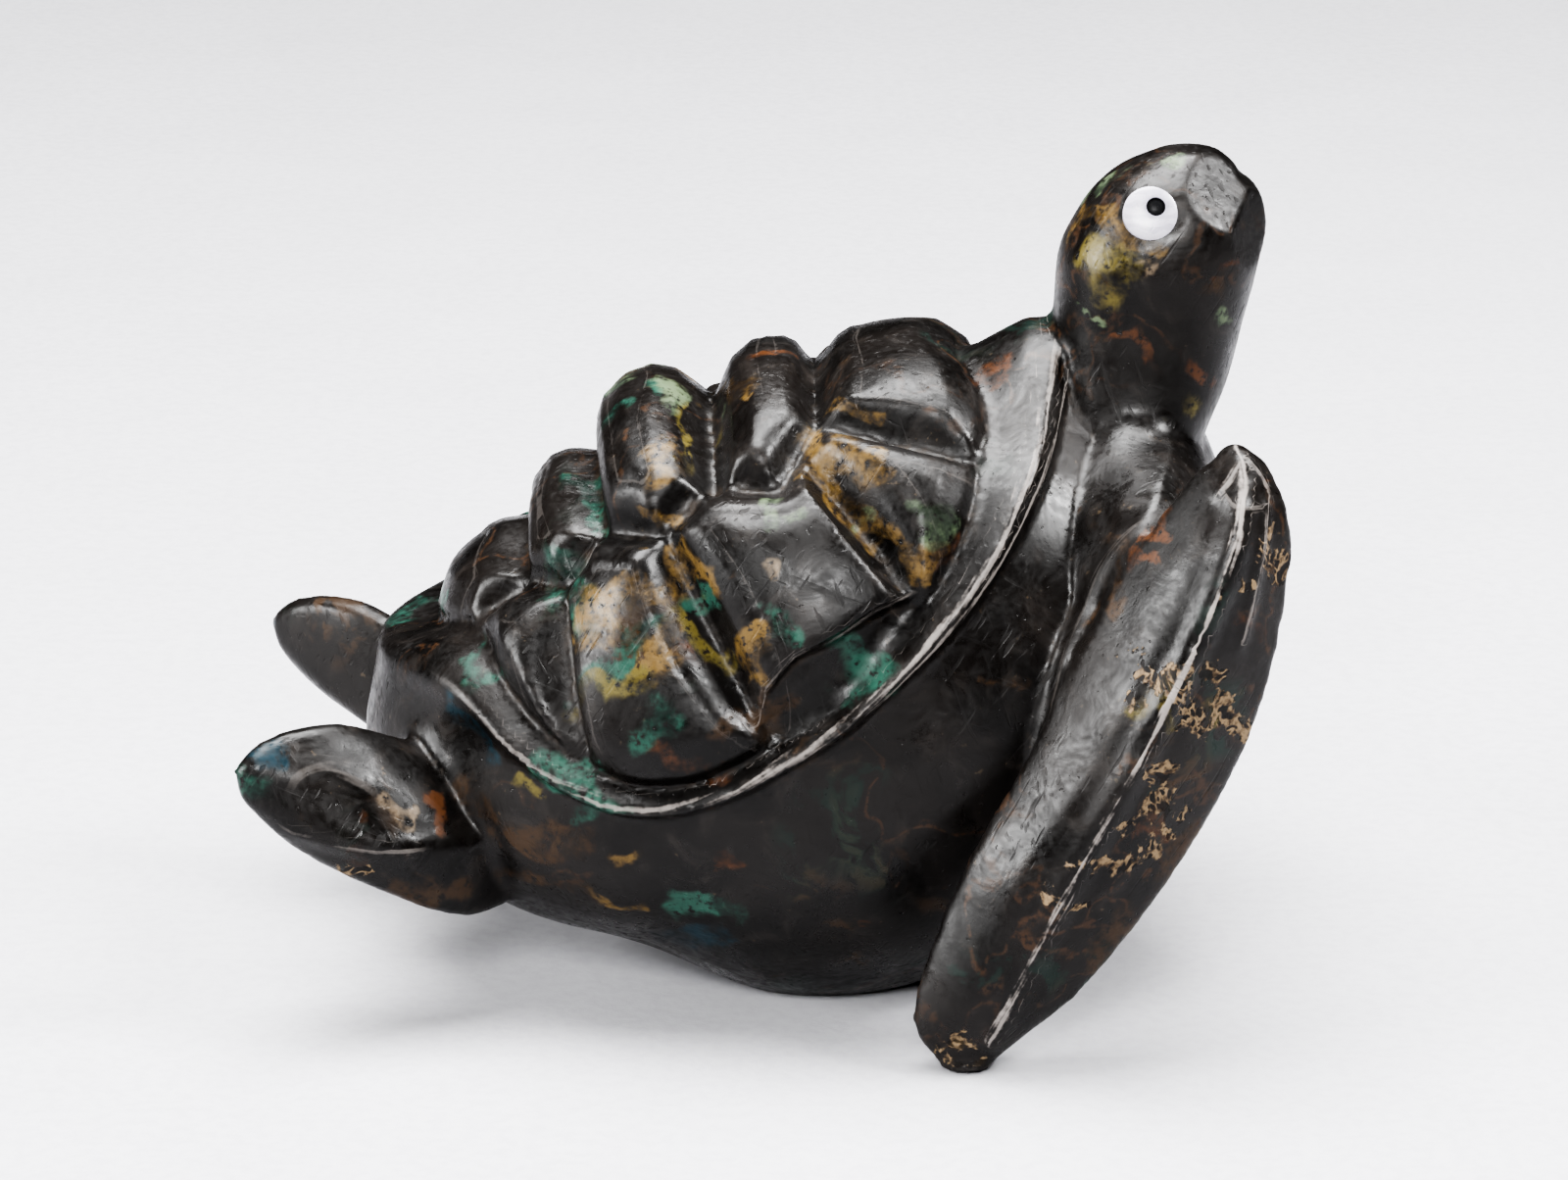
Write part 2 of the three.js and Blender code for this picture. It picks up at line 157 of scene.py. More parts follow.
def shellDirection(polar, heading):
    p, h = math.radians(polar), math.radians(heading)
    side = np.array([0, -math.sin(p) * math.sin(h), 0])
    return side + shellPole * math.cos(p) + shellFront * math.sin(p) * math.cos(h)


def shellPlaces(away):
    reach = np.linalg.norm(away, axis=1)
    unit = away / reach[:, None]
    polar = np.degrees(np.arccos(np.clip(unit @ shellPole, -1, 1)))
    heading = np.degrees(np.arctan2(-unit[:, 1], unit @ shellFront)) % 360
    return unit, reach, polar, heading


def eggRadius(unit):
    outline = roundTable(body["outline"], np.degrees(np.arctan2(unit[:, 2], unit[:, 0])))
    along = np.hypot(unit[:, 0], unit[:, 2]) / outline
    across = np.abs(unit[:, 1]) / body["halfWidth"]
    p = body["roundness"]
    return (along**p + across**p) ** (-1 / p)


def bandLift(polar, heading):
    rim = headingTable(body["rim"], heading)
    width = headingTable(body["bandWidth"], heading)
    groove = rim - width
    swollen = np.zeros((len(body["band"]), len(polar)))
    for middle, spread, lifts in body["swells"]:
        away = np.abs((heading - middle + 180) % 360 - 180)
        swollen += np.outer(lifts, np.cos(np.minimum(away / spread, 1) * math.pi / 2) ** 2)
    knots = [(np.zeros_like(polar), np.zeros_like(polar))]
    knots += [(groove - above, lift + 0 * polar) for above, lift in body["scuteEdge"]]
    knots += [(groove + share * width, lift + swell) for (share, lift), swell in zip(body["band"], swollen)]
    knots += [(rim + below, lift + swollen[-1]) for below, lift in body["belowRim"]]
    last = body["belowRim"][-1][0]
    knots.append((rim + last + body["bellyStep"] * (180 - rim - last), 0 * polar))
    lift = np.zeros_like(polar)
    for (low, liftLow), (high, liftHigh) in zip(knots, knots[1:]):
        inside = (polar >= low) & (polar < high)
        share = np.where(inside, (polar - low) / (high - low), 0)
        lift = np.where(inside, liftLow + share * (liftHigh - liftLow), lift)
    # the ledge drops to the groove
    onRight = np.minimum(heading, 360 - heading)
    ledgePolar = np.interp(onRight, [h for _, h in body["ledge"]], [p for p, _ in body["ledge"]])
    window = ramp(onRight, *body["ledgeEnds"][:2]) * (1 - ramp(onRight, *body["ledgeEnds"][2:]))
    ledged = -body["ledgeDepth"] * ramp(polar - ledgePolar, *body["ledgeFall"]) * window
    lift = np.where(polar < groove, np.maximum(lift + ledged, body["lowestGroove"]), lift)
    return lift, (polar - groove) / width, polar - groove, polar - ledgePolar, window


def seamRuns():
    nodes = seams["keel"]
    runs = [{"from": a, "to": b, **seams["keelCut"]} for a, b in zip(nodes, nodes[1:])]
    runs += [{**saddle, "from": nodes[saddle["node"]], "to": saddle["middle"]} for saddle in seams["saddles"]]
    runs += [{**cut, "wedge": True} for cut in seams["flankCuts"]]
    return runs


def seamField(away):
    # the seams' floor under each place, the way to the nearest seam edge, and the step onto the nearest crease
    mirror = np.where(away[:, 1] > 0, -1.0, 1.0)
    right = away * np.stack([np.ones(len(away)), mirror, np.ones(len(away))], axis=1)
    lowest = np.full(len(away), 9.0)
    edgeGap = np.full(len(away), 99.0)
    creases = []
    for run in seamRuns():
        a, b = shellDirection(*run["from"]), shellDirection(*run["to"])
        normal = np.cross(a, b)
        normal /= np.linalg.norm(normal)
        total = math.acos(a @ b)
        turn = np.arctan2(right @ np.cross(normal, a), right @ a)
        share = turn / total
        over = np.maximum(np.maximum(share - 1, -share), 0) * total * np.linalg.norm(right, axis=1)
        sideways = right @ normal
        rawGap = np.hypot(sideways, over)
        tapered = np.clip((share + 0.04) / 1.08, 0, 1)
        if run.get("wedge"):
            size = 0.06 + 0.94 * np.sin(math.pi * (0.1 + 0.9 * tapered)) ** 0.55
            towardsTail = sideways * np.sign(normal @ shellDirection(60, 180) - normal @ shellDirection(60, 0)) > 0
            side = np.where(towardsTail, run["tailBevel"], run["headBevel"])
        else:
            size = 1 - 0.15 * np.abs(2 * tapered - 1)
            side = 1.0
        depth = run["depth"] * size
        narrow = seams["floorWidth"] * run["width"] * size
        wide = np.maximum(0.5 * run["width"] * size * side, narrow + 0.1)
        bevel = seams["floorDepth"] * depth
        gap = np.hypot(rawGap, seams["floorRound"]) - seams["floorRound"]
        inner = -depth + (depth - bevel) * gap / narrow
        outer = -bevel + (gap - narrow) * bevel / (wide - narrow)
        height = np.where(gap < narrow, inner, outer)
        ahead = right @ (a + b) > 0
        height = np.where(ahead, height, 9.0)
        lowest = np.minimum(lowest, height)
        edgeGap = np.minimum(edgeGap, np.where(height < 9, gap - wide, 99))
        along = ahead & (over <= 0)
        bevelEdge = np.sqrt((wide + seams["floorRound"]) ** 2 - seams["floorRound"] ** 2)
        edge = (np.abs(sideways) - bevelEdge) * np.sign(sideways)
        creases.append((np.where(along, sideways, 9), height, normal))
        creases.append((np.where(along, edge, 9), height, normal))
    nearest = np.full(len(away), 9.0)
    step = np.zeros((len(away), 3))
    for across, height, normal in creases:
        better = (np.abs(across) < np.abs(nearest)) & (height <= lowest + 0.25)
        nearest = np.where(better, across, nearest)
        step[better] = -across[better, None] * normal
    step[:, 1] *= mirror
    return lowest, edgeGap, nearest, step


# parts of the stone, each a primitive whose points are moved onto its form
neck = {
    # level sections: height, middle, half depth, half width
    "sections": [
        [23, 20.3, 4.6, 9], [29, 20.7, 4.7, 7.6], [32.2, 21.1, 4.8, 6.6], [35.7, 22, 5.2, 5.7],
        [39, 22.5, 5.5, 5.35], [42.8, 23.1, 5.8, 5.35], [45, 23.75, 5.5, 4.95], [46.7, 24.05, 4.65, 4.2],
        [48, 24.2, 3.3, 3], [49.12, 24.7, 1.5, 1.2],
    ],
    "roundness": 2.3,
    "mouth": [[27.0, 50.5], [28.7, 50.5], [27.9, 45.3]],
    # flats that were ground on each side of the beak: a place on the flat and the way it faces
    "flats": [
        {"place": [25.8, 2.75, 47.3], "facing": [0.42, 0.62, 0.66]},
        {"place": [28.3, 2.2, 44.0], "facing": [0.86, 0.48, 0.18]},
        {"place": [20.0, 2.9, 47.4], "facing": [-0.45, 0.55, 0.7]},
    ],
    "flatsAbove": 38,
}
shoulders = {
    "yokePlace": [21.7, 0, 25.5], "yokeSize": [5.8, 17, 9.5],
    "padPlace": [19.3, 12.6, 20], "padSize": [4.2, 5.2, 10], "padLean": 25.5,
}
frontFlipper = {
    "trailing": [[25.7, 14.6, 35.3], [23.4, 14.9, 33.2], [19.6, 15.8, 27.5], [15.8, 17, 19.6],
                 [11.7, 18, 12.3], [8.9, 18.8, 5], [8.9, 19.2, 1.7], [10.8, 19.4, 0]],
    "leading": [[26.7, 14.8, 36], [28.8, 15.2, 34.5], [30, 15.8, 30], [28.5, 17, 21],
                [24.3, 18.2, 12.4], [19.1, 19.1, 5.4], [15.9, 19.4, 2.6], [13.3, 19.6, 0.3]],
    "crest": [[26.6, 15.4, 35.9], [26.95, 17.6, 34.0], [25.8, 20.2, 29.4], [22.1, 21.5, 21.2],
              [18.1, 21.8, 13.4], [14.4, 21.4, 5.2], [13.1, 20.8, 2.4], [12.3, 20, 0.1]],
    "thickness": 4.6,
    "behind": 0.9,
    "ahead": 0.5,
    "leftLean": 7.5,
    "brokenTip": {"place": [11.2, -20.6, 1.8], "size": 2.0, "depth": 0.5},
}
rearFlipper = {
    "upper": [[-15.5, 4, 13], [-21.5, 8.8, 16.6], [-25, 10.8, 18.1], [-28.5, 12.7, 17.5], [-29.9, 13.7, 16]],
    "crest": [[-11.5, 8, 11.5], [-16.9, 12.8, 11.2], [-21.5, 14.9, 11.9], [-27, 15, 13.7], [-30, 14.2, 15.3]],
    "lower": [[-11.5, 6, 8], [-15.9, 11.6, 6.5], [-20.5, 13, 8], [-26.5, 13.6, 11.3], [-29.7, 13.9, 14.6]],
    "inner": [[-11.5, 3, 8], [-17, 6, 8.3], [-22.5, 8.6, 10.6], [-27.1, 11.4, 13.2], [-29.6, 13.4, 15]],
    "top": 0.9,
    "side": 0.5,
    "under": 0.3,
}
# ridges left by the file: height, half width, how strongly their pale line of wear and painted highlight shows, width
# of that line, and places on the right side
ridges = [
    {"height": 0.3, "reach": 1.3, "wearAndSheen": 1.0, "line": 0.21, "flipper": True,
     "places": [[x, -y, z] for x, y, z in frontFlipper["crest"][:-1]]},
    {"height": 0.2, "reach": 0.8, "wearAndSheen": 0.55, "line": 0.24, "flipper": True, "second": True,
     "places": [[27, -16.1, 35.3], [26.1, -17.2, 34.5], [25.6, -17.3, 34.0]]},
    {"height": 0.15, "reach": 0.7, "wearAndSheen": 0.5, "line": 0.15, "flipper": True, "second": True,
     "places": [[27, -16.1, 35.3], [28.3, -16.5, 33.5], [28.3, -17, 32.7], [27.8, -18.4, 28.8], [27.2, -19, 25.5]]},
    {"height": 0.1, "reach": 0.6, "wearAndSheen": 0.3, "line": 0.14, "flipper": True, "second": True,
     "places": [[25.6, -17.3, 34.0], [26.6, -17.9, 33.0], [28, -17.2, 32.8]]},
    {"height": 0.15, "reach": 0.8, "wearAndSheen": 0.1, "line": 0.2,
     "places": [[22.4, -13.3, 31.2], [18.6, -14.4, 26.1], [16.1, -17, 20]]},
    {"height": 0.22, "reach": 1.1, "wearAndSheen": 0.35, "line": 0.22,
     "places": [[-27.6, -14.6, 13.4], [-26.5, -14.6, 12.8], [-23.3, -14.8, 12], [-20.1, -14.3, 11.4],
                [-18.3, -13.6, 11.3]]},
    {"height": 0.12, "reach": 1.3, "wearAndSheen": 0.15, "line": 0.3,
     "places": [[-26.9, -14.7, 14.7], [-26.1, -14.1, 15.9], [-24.4, -13.5, 16.1], [-22.3, -13.3, 14.9],
                [-21.4, -13.5, 13.9]]},
]
eyes = {
    "x": 22.3, "y": 4.206, "z": 46.3, "upturn": 26, "depth": 1.5, "pupilForward": 0.32, "pupilUp": 0.352, "play": 0.02,
    "clearance": 0.02, "flatShare": 0.56, "slope": 0.55, "cutReach": 3,  # how the stone is cut flat around the ring
    "ring": {"size": 3.1, "top": 0.3, "sides": 96, "insets": 6, "insetShare": 9, "fall": 0.225, "power": 2.6,
             "bevel": 0.07},
    "pupil": {"size": 1.06, "top": 0.18, "sides": 48, "insets": 4, "insetShare": 6, "fall": 0.1, "power": 2,
              "bevel": 0.05},
}
stoneMesh = {
    "voxel": 0.36, "smoothPasses": 9, "snapNear": 0.4, "snapFar": 0.9, "eggSides": 105, "eggRings": 70,
    "creaseReach": 0.21, "waves": [[5.5, 0.08], [2.2, 0.035]], "shoulderPasses": 260,
    # from how far to how far a point stands out of its neighbours, or lies in, to be relaxed, and how many times
    "edges": (0.012, 0.035), "edgePasses": 14, "floors": (0.03, 0.09), "floorPasses": 5,
    "rims": (0.03, 0.08), "rimPasses": 3, "rumpHeadings": (138, 165), "rumpPasses": 40,
    "flippersIn": 0.3,  # so that the ridges stay inside the solid's box
    "hollowPasses": 5, "deepPasses": 14,
}
# pale lines of wear and painted highlight on the shell: half width and how strong
shellLines = {"crest": (0.26, 0.6), "seams": (0.1, 0.1), "rim": (0.18, 0.7), "ledge": (0.14, 0.5)}


def curveThrough(points, count):
    given = np.array(points, float)
    padded = np.vstack([2 * given[0] - given[1], given, 2 * given[-1] - given[-2]])
    place = np.linspace(0, len(given) - 1, count)
    i = np.minimum(place.astype(int), len(given) - 2)
    return between(*[padded[i + k] for k in range(4)], (place - i)[:, None])


def roundSection(corners, sharp, steps):
    # a closed smooth line through the corners of every section, with a ridge at the sharp corner
    total = corners.shape[1]
    line = []
    for i in range(total):
        start, end = corners[:, i], corners[:, (i + 1) % total]
        before, after = corners[:, i - 1], corners[:, (i + 2) % total]
        leave = end - start if i == sharp else 0.5 * (end - before)
        arrive = end - start if (i + 1) % total == sharp else 0.5 * (after - start)
        for f in np.arange(steps) / steps:
            h = (2 * f**3 - 3 * f**2 + 1, f**3 - 2 * f**2 + f, 3 * f**2 - 2 * f**3, f**3 - f**2)
            line.append(h[0] * start + h[1] * leave + h[2] * end + h[3] * arrive)
    return np.stack(line, axis=1)


def tubeFrom(name, rings):
    # a grid rolled into a tube through rings of points, closed at both ends
    rows, across = rings.shape[:2]
    deselectAll()
    bpy.ops.mesh.primitive_grid_add(x_subdivisions=across, y_subdivisions=rows - 1, size=1)
    piece = bpy.context.object
    piece.name = name
    rolled = np.concatenate([rings, rings[:, :1]], axis=1)
    piece.data.vertices.foreach_set("co", (rolled.reshape(-1, 3) * mm).ravel())
    bpy.ops.object.mode_set(mode="EDIT")
    bpy.ops.mesh.select_all(action="SELECT")
    bpy.ops.mesh.remove_doubles(threshold=0.000001)
    bpy.ops.mesh.fill_holes(sides=0)
    bpy.ops.mesh.normals_make_consistent(inside=False)
    bpy.ops.object.mode_set(mode="OBJECT")
    return piece


def ballOf(name, place, size, lean=0, segments=64, rings=40):
    deselectAll()
    bpy.ops.mesh.primitive_uv_sphere_add(segments=segments, ring_count=rings, radius=1)
    piece = bpy.context.object
    piece.name = name
    turn = Matrix.Rotation(math.radians(lean), 4, "Y")
    piece.data.transform(Matrix.Translation(Vector(place) * mm) @ turn @ Matrix.Diagonal((*[v * mm for v in size], 1)))
    return piece


def mirroredOver(points, side):
    return points * np.array([1, side, 1])


def leanFlipper(points, turn, foot=frontFlipper["crest"][-1][0]):
    x, z = points[..., 0] - foot, points[..., 2]
    return np.stack([foot + x * math.cos(turn) - z * math.sin(turn), points[..., 1],
                     x * math.sin(turn) + z * math.cos(turn)], axis=-1)


def frontFlipperRings(side, stations=90):
    edge, leading, crest = (curveThrough(frontFlipper[k], stations) for k in ("trailing", "leading", "crest"))
    swell = np.sin(math.pi * (0.12 + 0.76 * np.linspace(0, 1, stations)))
    inner = 0.5 * (edge + leading)
    inner[:, 1] = crest[:, 1] - frontFlipper["thickness"] * swell
    behind = 0.5 * (edge + crest)
    behind[:, 1] += frontFlipper["behind"] * swell
    ahead = 0.5 * (crest + leading)
    ahead[:, 1] += frontFlipper["ahead"] * swell
    corners = np.stack([edge, behind, crest, ahead, leading, inner + 0.4 * (leading - inner), inner,
                        inner + 0.4 * (edge - inner)], axis=1)
    rings = roundSection(corners, 2, 6)
    if side > 0:  # the left one leans further back about its foot
        rings = leanFlipper(rings, math.radians(frontFlipper["leftLean"]))
    return mirroredOver(rings, side)


def rearFlipperRings(side, stations=60):
    upper, crest, lower, inner = (curveThrough(rearFlipper[line], stations)
                                  for line in ("upper", "crest", "lower", "inner"))
    top = upper + 0.45 * (crest - upper) + [0, rearFlipper["side"], rearFlipper["top"]]
    under = 0.5 * (lower + inner) - [0, 0, rearFlipper["under"]]
    return mirroredOver(roundSection(np.stack([upper, top, crest, lower, under, inner], axis=1), 2, 7), side)


def neckRings(rows=80, sides=72):
    height, middle, depth, width = curveThrough(neck["sections"], rows).T
    turn = np.linspace(0, 2 * math.pi, sides, endpoint=False)
    power = 2 / neck["roundness"]
    c = np.sign(np.cos(turn)) * np.abs(np.cos(turn)) ** power
    s = np.sign(np.sin(turn)) * np.abs(np.sin(turn)) ** power
    return np.stack([middle[:, None] + depth[:, None] * c, width[:, None] * s, height[:, None] + 0 * c], axis=2)


def pointsOf(piece):
    points = np.empty(len(piece.data.vertices) * 3)
    piece.data.vertices.foreach_get("co", points)
    return points.reshape(-1, 3)


def carvedEgg(away):
    # how far the carved body reaches in the direction of each point, and the lines that are cut into it
    unit, reach, polar, heading = shellPlaces(away)
    lift, bandShare, grooveGap, ledgeGap, ledgeWindow = bandLift(polar, heading)
    reached = eggRadius(unit)
    cut, edgeGap, creaseGap, creaseStep = seamField(unit * reached[:, None])
    crowned = seams["crown"] * np.exp(-np.maximum(edgeGap, 0) / seams["crownReach"]) * (grooveGap < 0)
    degree = reached * math.pi / 180
    down = unitRows(unit * (unit @ shellPole)[:, None] - shellPole)
    width = headingTable(body["bandWidth"], heading)
    # steps onto the lines of the band and of the ledge
    lines = [((bandShare - share) * width * degree, 1.0) for share in (0, crestShare, 1)]
    lines.append((ledgeGap * degree, ledgeWindow > 0.5))
    for across, wanted in lines:
        better = (np.abs(across) < np.abs(creaseGap)) & (wanted > 0)
        creaseGap = np.where(better, across, creaseGap)
        creaseStep[better] = -across[better, None] * down[better]
    return {"unit": unit, "reach": reach, "target": reached + np.minimum(lift - crowned, cut), "grooveGap": grooveGap,
            "bandShare": bandShare, "edgeGap": edgeGap, "creaseGap": creaseGap, "creaseStep": creaseStep,
            "degree": degree, "bandWidth": width, "heading": heading, "ledgeGap": ledgeGap * degree,
            "ledgeWindow": ledgeWindow}


crestShare = body["band"][2][0]
centre = np.array([body["centreX"], 0, body["centreZ"]])
egg = ballOf("egg", (0, 0, 0), (1000, 1000, 1000), 0, stoneMesh["eggSides"], stoneMesh["eggRings"])
applyModifier(egg, "SUBSURF", subdivision_type="SIMPLE", levels=2, render_levels=2)
carved = carvedEgg(pointsOf(egg))
egg.data.vertices.foreach_set("co", ((centre + carved["unit"] * carved["target"][:, None]) * mm).ravel())
neckPart = tubeFrom("neckPart", neckRings())
wedge = tubeFrom("wedge", np.array([[[x, y, z] for x, z in neck["mouth"]] for y in (-12, 12)], float))
applyModifier(neckPart, "BOOLEAN", operation="DIFFERENCE", object=wedge, solver="EXACT")
bpy.data.objects.remove(wedge)
parts = [neckPart, ballOf("yoke", shoulders["yokePlace"], shoulders["yokeSize"])]
for side in (-1, 1):
    x, y, z = shoulders["padPlace"]
    parts.append(ballOf("pad", (x, side * y, z), shoulders["padSize"], shoulders["padLean"]))
    parts.append(tubeFrom("frontFlipper", frontFlipperRings(side)))
    parts.append(tubeFrom("rearFlipper", rearFlipperRings(side)))
makeActive(egg)
for part in parts:
    part.select_set(True)
bpy.ops.object.join()
stone = egg
stone.name = "stone"
applyModifier(stone, "REMESH", mode="VOXEL", voxel_size=stoneMesh["voxel"] * mm, adaptivity=0)
print("remeshed stone:", len(stone.data.vertices), "vertices", len(stone.data.polygons), "faces")

mesh = stone.data
count = len(mesh.vertices)
places = pointsOf(stone) / mm
edges = np.empty(len(mesh.edges) * 2, int)
mesh.edges.foreach_get("vertices", edges)
edges = edges.reshape(-1, 2)
degree = np.maximum(np.bincount(edges.ravel(), minlength=count), 1)


def neighbourMean(values):
    total = np.zeros_like(values)
    for k in range(values.shape[1]):
        total[:, k] = np.bincount(edges[:, 0], values[edges[:, 1], k], count)
        total[:, k] += np.bincount(edges[:, 1], values[edges[:, 0], k], count)
    return total / degree[:, None]


def relax(points, passes, weight, back=-0.52):
    for _ in range(passes):
        for step in (0.5, back):
            if step:
                points = points + step * weight[:, None] * (neighbourMean(points) - points)
    return points


def normalsOf(points):
    mesh.vertices.foreach_set("co", (points * mm).ravel())
    mesh.update()
    result = np.empty(count * 3)
    mesh.vertices.foreach_get("normal", result)
    return result.reshape(-1, 3)


def standingOut(points, low, high, side=1):
    # how much each point stands out from its neighbours, or lies in with the side turned
    return ramp(side * rowDot(points - neighbourMean(points), normalsOf(points)), low, high)


def waveOf(points, size, seed):
    shift = Vector((seed * 7.3, seed * 3.1, seed * 5.7))
    return np.array([noise.noise(Vector(p) / size + shift) for p in points.tolist()])


def rightSide(points, left, flipper=False, foot=frontFlipper["crest"][-1][0]):
    # places of the left side brought over to the right, where the ridges are listed
    moved = np.where(left[:, None], points * [1, -1, 1], points)
    if flipper:
        moved = np.where(left[:, None], leanFlipper(moved, -math.radians(frontFlipper["leftLean"]), foot), moved)
    return moved


def lineField(points, normals, line):
    # signed way across a line through places
    best = np.full(len(points), 1e9)
    across = np.full(len(points), 99.0)
    for a, b in zip(line, line[1:]):
        run = b - a
        share = np.clip((points - a) @ run / (run @ run), 0, 1)
        spot = a + share[:, None] * run
        gap = np.linalg.norm(points - spot, axis=1)
        closer = gap < best
        best = np.where(closer, gap, best)
        sign = np.sign(rowDot(points - spot, np.cross(run, normals)))
        across = np.where(closer, gap * np.where(sign == 0, 1, sign), across)
    return across


carved = carvedEgg(places - centre)
normals = normalsOf(places)
facing = rowDot(normals, carved["unit"])
# the shell's own points are those that lie near the carved form and face the same way
snap = 1 - ramp(np.abs(carved["reach"] - carved["target"]), stoneMesh["snapNear"], stoneMesh["snapFar"])
snap = snap * ramp(facing, 0.1, 0.4) * ramp(places[:, 2], 0.2, 0.8)
grounded = 1 - ramp(places[:, 2], 0.25, 0.9)
places = relax(places, stoneMesh["smoothPasses"], (1 - snap) * (1 - grounded))
# sharp edges of the flippers and the head are evened, so that they run smoothly
edged = standingOut(places, *stoneMesh["edges"]) * (1 - snap) * (1 - grounded)
edged = np.maximum(edged, 0.9 * neighbourMean(neighbourMean(edged[:, None]))[:, 0])
places = relax(places, stoneMesh["edgePasses"], edged, 0)
# the shoulders run softly into the neck and the body
onLeft = places[:, 1] > 0
x, y, z = rightSide(places, onLeft, True).T
trailing = np.array(frontFlipper["trailing"][::-1])
shoulderArea = ramp(np.interp(z, trailing[:, 2], trailing[:, 0]) - x, 0.1, 1.1) * ramp(x, 10.5, 12.5)
shoulderArea *= ramp(-y, 5.4, 7) * ramp(z, 14, 18) * (1 - ramp(z, 34, 36)) * (1 - ramp(snap, 0.3, 0.9))
places = relax(places, stoneMesh["shoulderPasses"], shoulderArea, 0)
# points close to a crease are brought onto it, so that it stays crisp
carved = carvedEgg(places - centre)
onCrease = (np.abs(carved["creaseGap"]) < stoneMesh["creaseReach"]) & (snap > 0.5)
places[onCrease] += carved["creaseStep"][onCrease]
carved = carvedEgg(places - centre)
places = places + snap[:, None] * (centre + carved["unit"] * carved["target"][:, None] - places)
# the floors of the cuts are evened out
sunken = standingOut(places, *stoneMesh["floors"], -1)
sunken = np.maximum(sunken, neighbourMean(sunken[:, None])[:, 0])
places = relax(places, stoneMesh["floorPasses"], sunken, 0)
# the raised edges of the shell are rubbed a little
rubbed = standingOut(places, *stoneMesh["rims"]) * ramp(snap, 0.2, 0.6)
rubbed = np.maximum(rubbed, 0.7 * neighbourMean(rubbed[:, None])[:, 0])
places = relax(places, stoneMesh["rimPasses"], rubbed, 0)
# the rump end of the rim is rubbed round
rump = ramp(np.minimum(carved["heading"], 360 - carved["heading"]), *stoneMesh["rumpHeadings"])
rump *= ramp(carved["bandShare"], 0.3, 0.6) * ramp(snap, 0.2, 0.6)
places = relax(places, stoneMesh["rumpPasses"], rump, 0)
print("carved shell")

# flats beside the beak
mirrorY = np.where(places[:, 1] > 0, 1.0, -1.0)


def ownSide(vector):
    # a place or a direction of the left side, brought over to the side of each point
    return np.stack([0 * mirrorY + vector[0], mirrorY * vector[1], 0 * mirrorY + vector[2]], axis=1)


for flat in neck["flats"]:
    facingTo = np.array(flat["facing"]) / np.linalg.norm(flat["facing"])
    beyond = (np.stack([places[:, 0], np.abs(places[:, 1]), places[:, 2]], axis=1) - flat["place"]) @ facingTo
    places -= (np.maximum(beyond, 0) * (places[:, 2] > neck["flatsAbove"]))[:, None] * ownSide(facingTo)

# hand ground waviness, and ridges of the flippers
normals = normalsOf(places)
for seed, (size, height) in enumerate(stoneMesh["waves"]):
    places += (waveOf(places, size, seed + 1) * height * (1 - grounded))[:, None] * normals
# the flippers are brought in a little
places[:, 1] -= mirrorY * stoneMesh["flippersIn"] * ramp(np.abs(places[:, 1]), 14, 18) * (1 - grounded)
normals = normalsOf(places)
# pale lines of wear and painted highlight: the way across the nearest line and how strongly it shows
wearAndSheenLines = {kind: (np.full(count, 9.0), np.zeros(count)) for kind in ("wearAndSheen", "second")}


def addWearAndSheen(kind, scaled, strength):
    # the nearest pale line of wear and painted highlight of its kind counts, out to three times its width
    across, near = wearAndSheenLines[kind]
    strength = strength * (1 - ramp(np.abs(scaled), 2.2, 3.2))
    better = (np.abs(scaled) < np.abs(across)) & (strength > 0)
    wearAndSheenLines[kind] = np.where(better, scaled, across), np.where(better, strength, near)


for ridge in ridges:
    there = rightSide(places, onLeft, ridge.get("flipper"))
    normalThere = rightSide(normals, onLeft, ridge.get("flipper"), 0)
    steps = 4 * len(ridge["places"])
    line = curveThrough(ridge["places"], steps)
    # the line is laid on the surface first
    for _ in range(2):
        index = np.array([np.argmin(np.sum((there - p) ** 2, axis=1)) for p in line])
        line += rowDot(there[index] - line, normalThere[index])[:, None] * normalThere[index]
    across = lineField(there, normalThere, line)
    tent = np.maximum(1 - np.abs(across) / ridge["reach"], 0)
    ends = np.minimum(np.linalg.norm(there - line[0], axis=1), np.linalg.norm(there - line[-1], axis=1))
    fade = ramp(ends, 0.2, 1.6) if not ridge.get("flipper") else np.ones(count)
    places += (ridge["height"] * tent * fade * (1 - grounded))[:, None] * normals
    addWearAndSheen("second" if ridge.get("second") else "wearAndSheen", across / ridge["line"], ridge["wearAndSheen"] * fade)
print("raised ridges")

# the broken tip of the flipper is chipped away
tip = frontFlipper["brokenTip"]
there = rightSide(places, onLeft, True)
near = np.clip(1 - np.linalg.norm(there - tip["place"], axis=1) / tip["size"], 0, 1)
chipped = near * (0.45 + 1.1 * np.abs(waveOf(there, 0.9, 6)))
normals = normalsOf(places)
places -= (tip["depth"] * chipped * (1 - grounded))[:, None] * normals
# the stone is cut flat around the eyes, so that their rings stay clear of it
upturn = math.radians(eyes["upturn"])
outward = ownSide([0, math.cos(upturn), math.sin(upturn)])
fromEye = places - ownSide([eyes["x"], eyes["y"], eyes["z"]])
raised = rowDot(fromEye, outward)
aside = np.linalg.norm(fromEye - raised[:, None] * outward, axis=1)
sloped = eyes["slope"] * np.maximum(aside - eyes["flatShare"] * eyes["ring"]["size"], 0)
nearEye = (aside < eyes["cutReach"]) & (raised > -1)
over = np.where(nearEye, np.maximum(raised - eyes["clearance"] - sloped, 0), 0)
places -= over[:, None] * outward
low, high = np.array(solidBounds[0]) / mm, np.array(solidBounds[1]) / mm
places = np.clip(places, low + 0.01, high - 0.01)
normals = normalsOf(places)
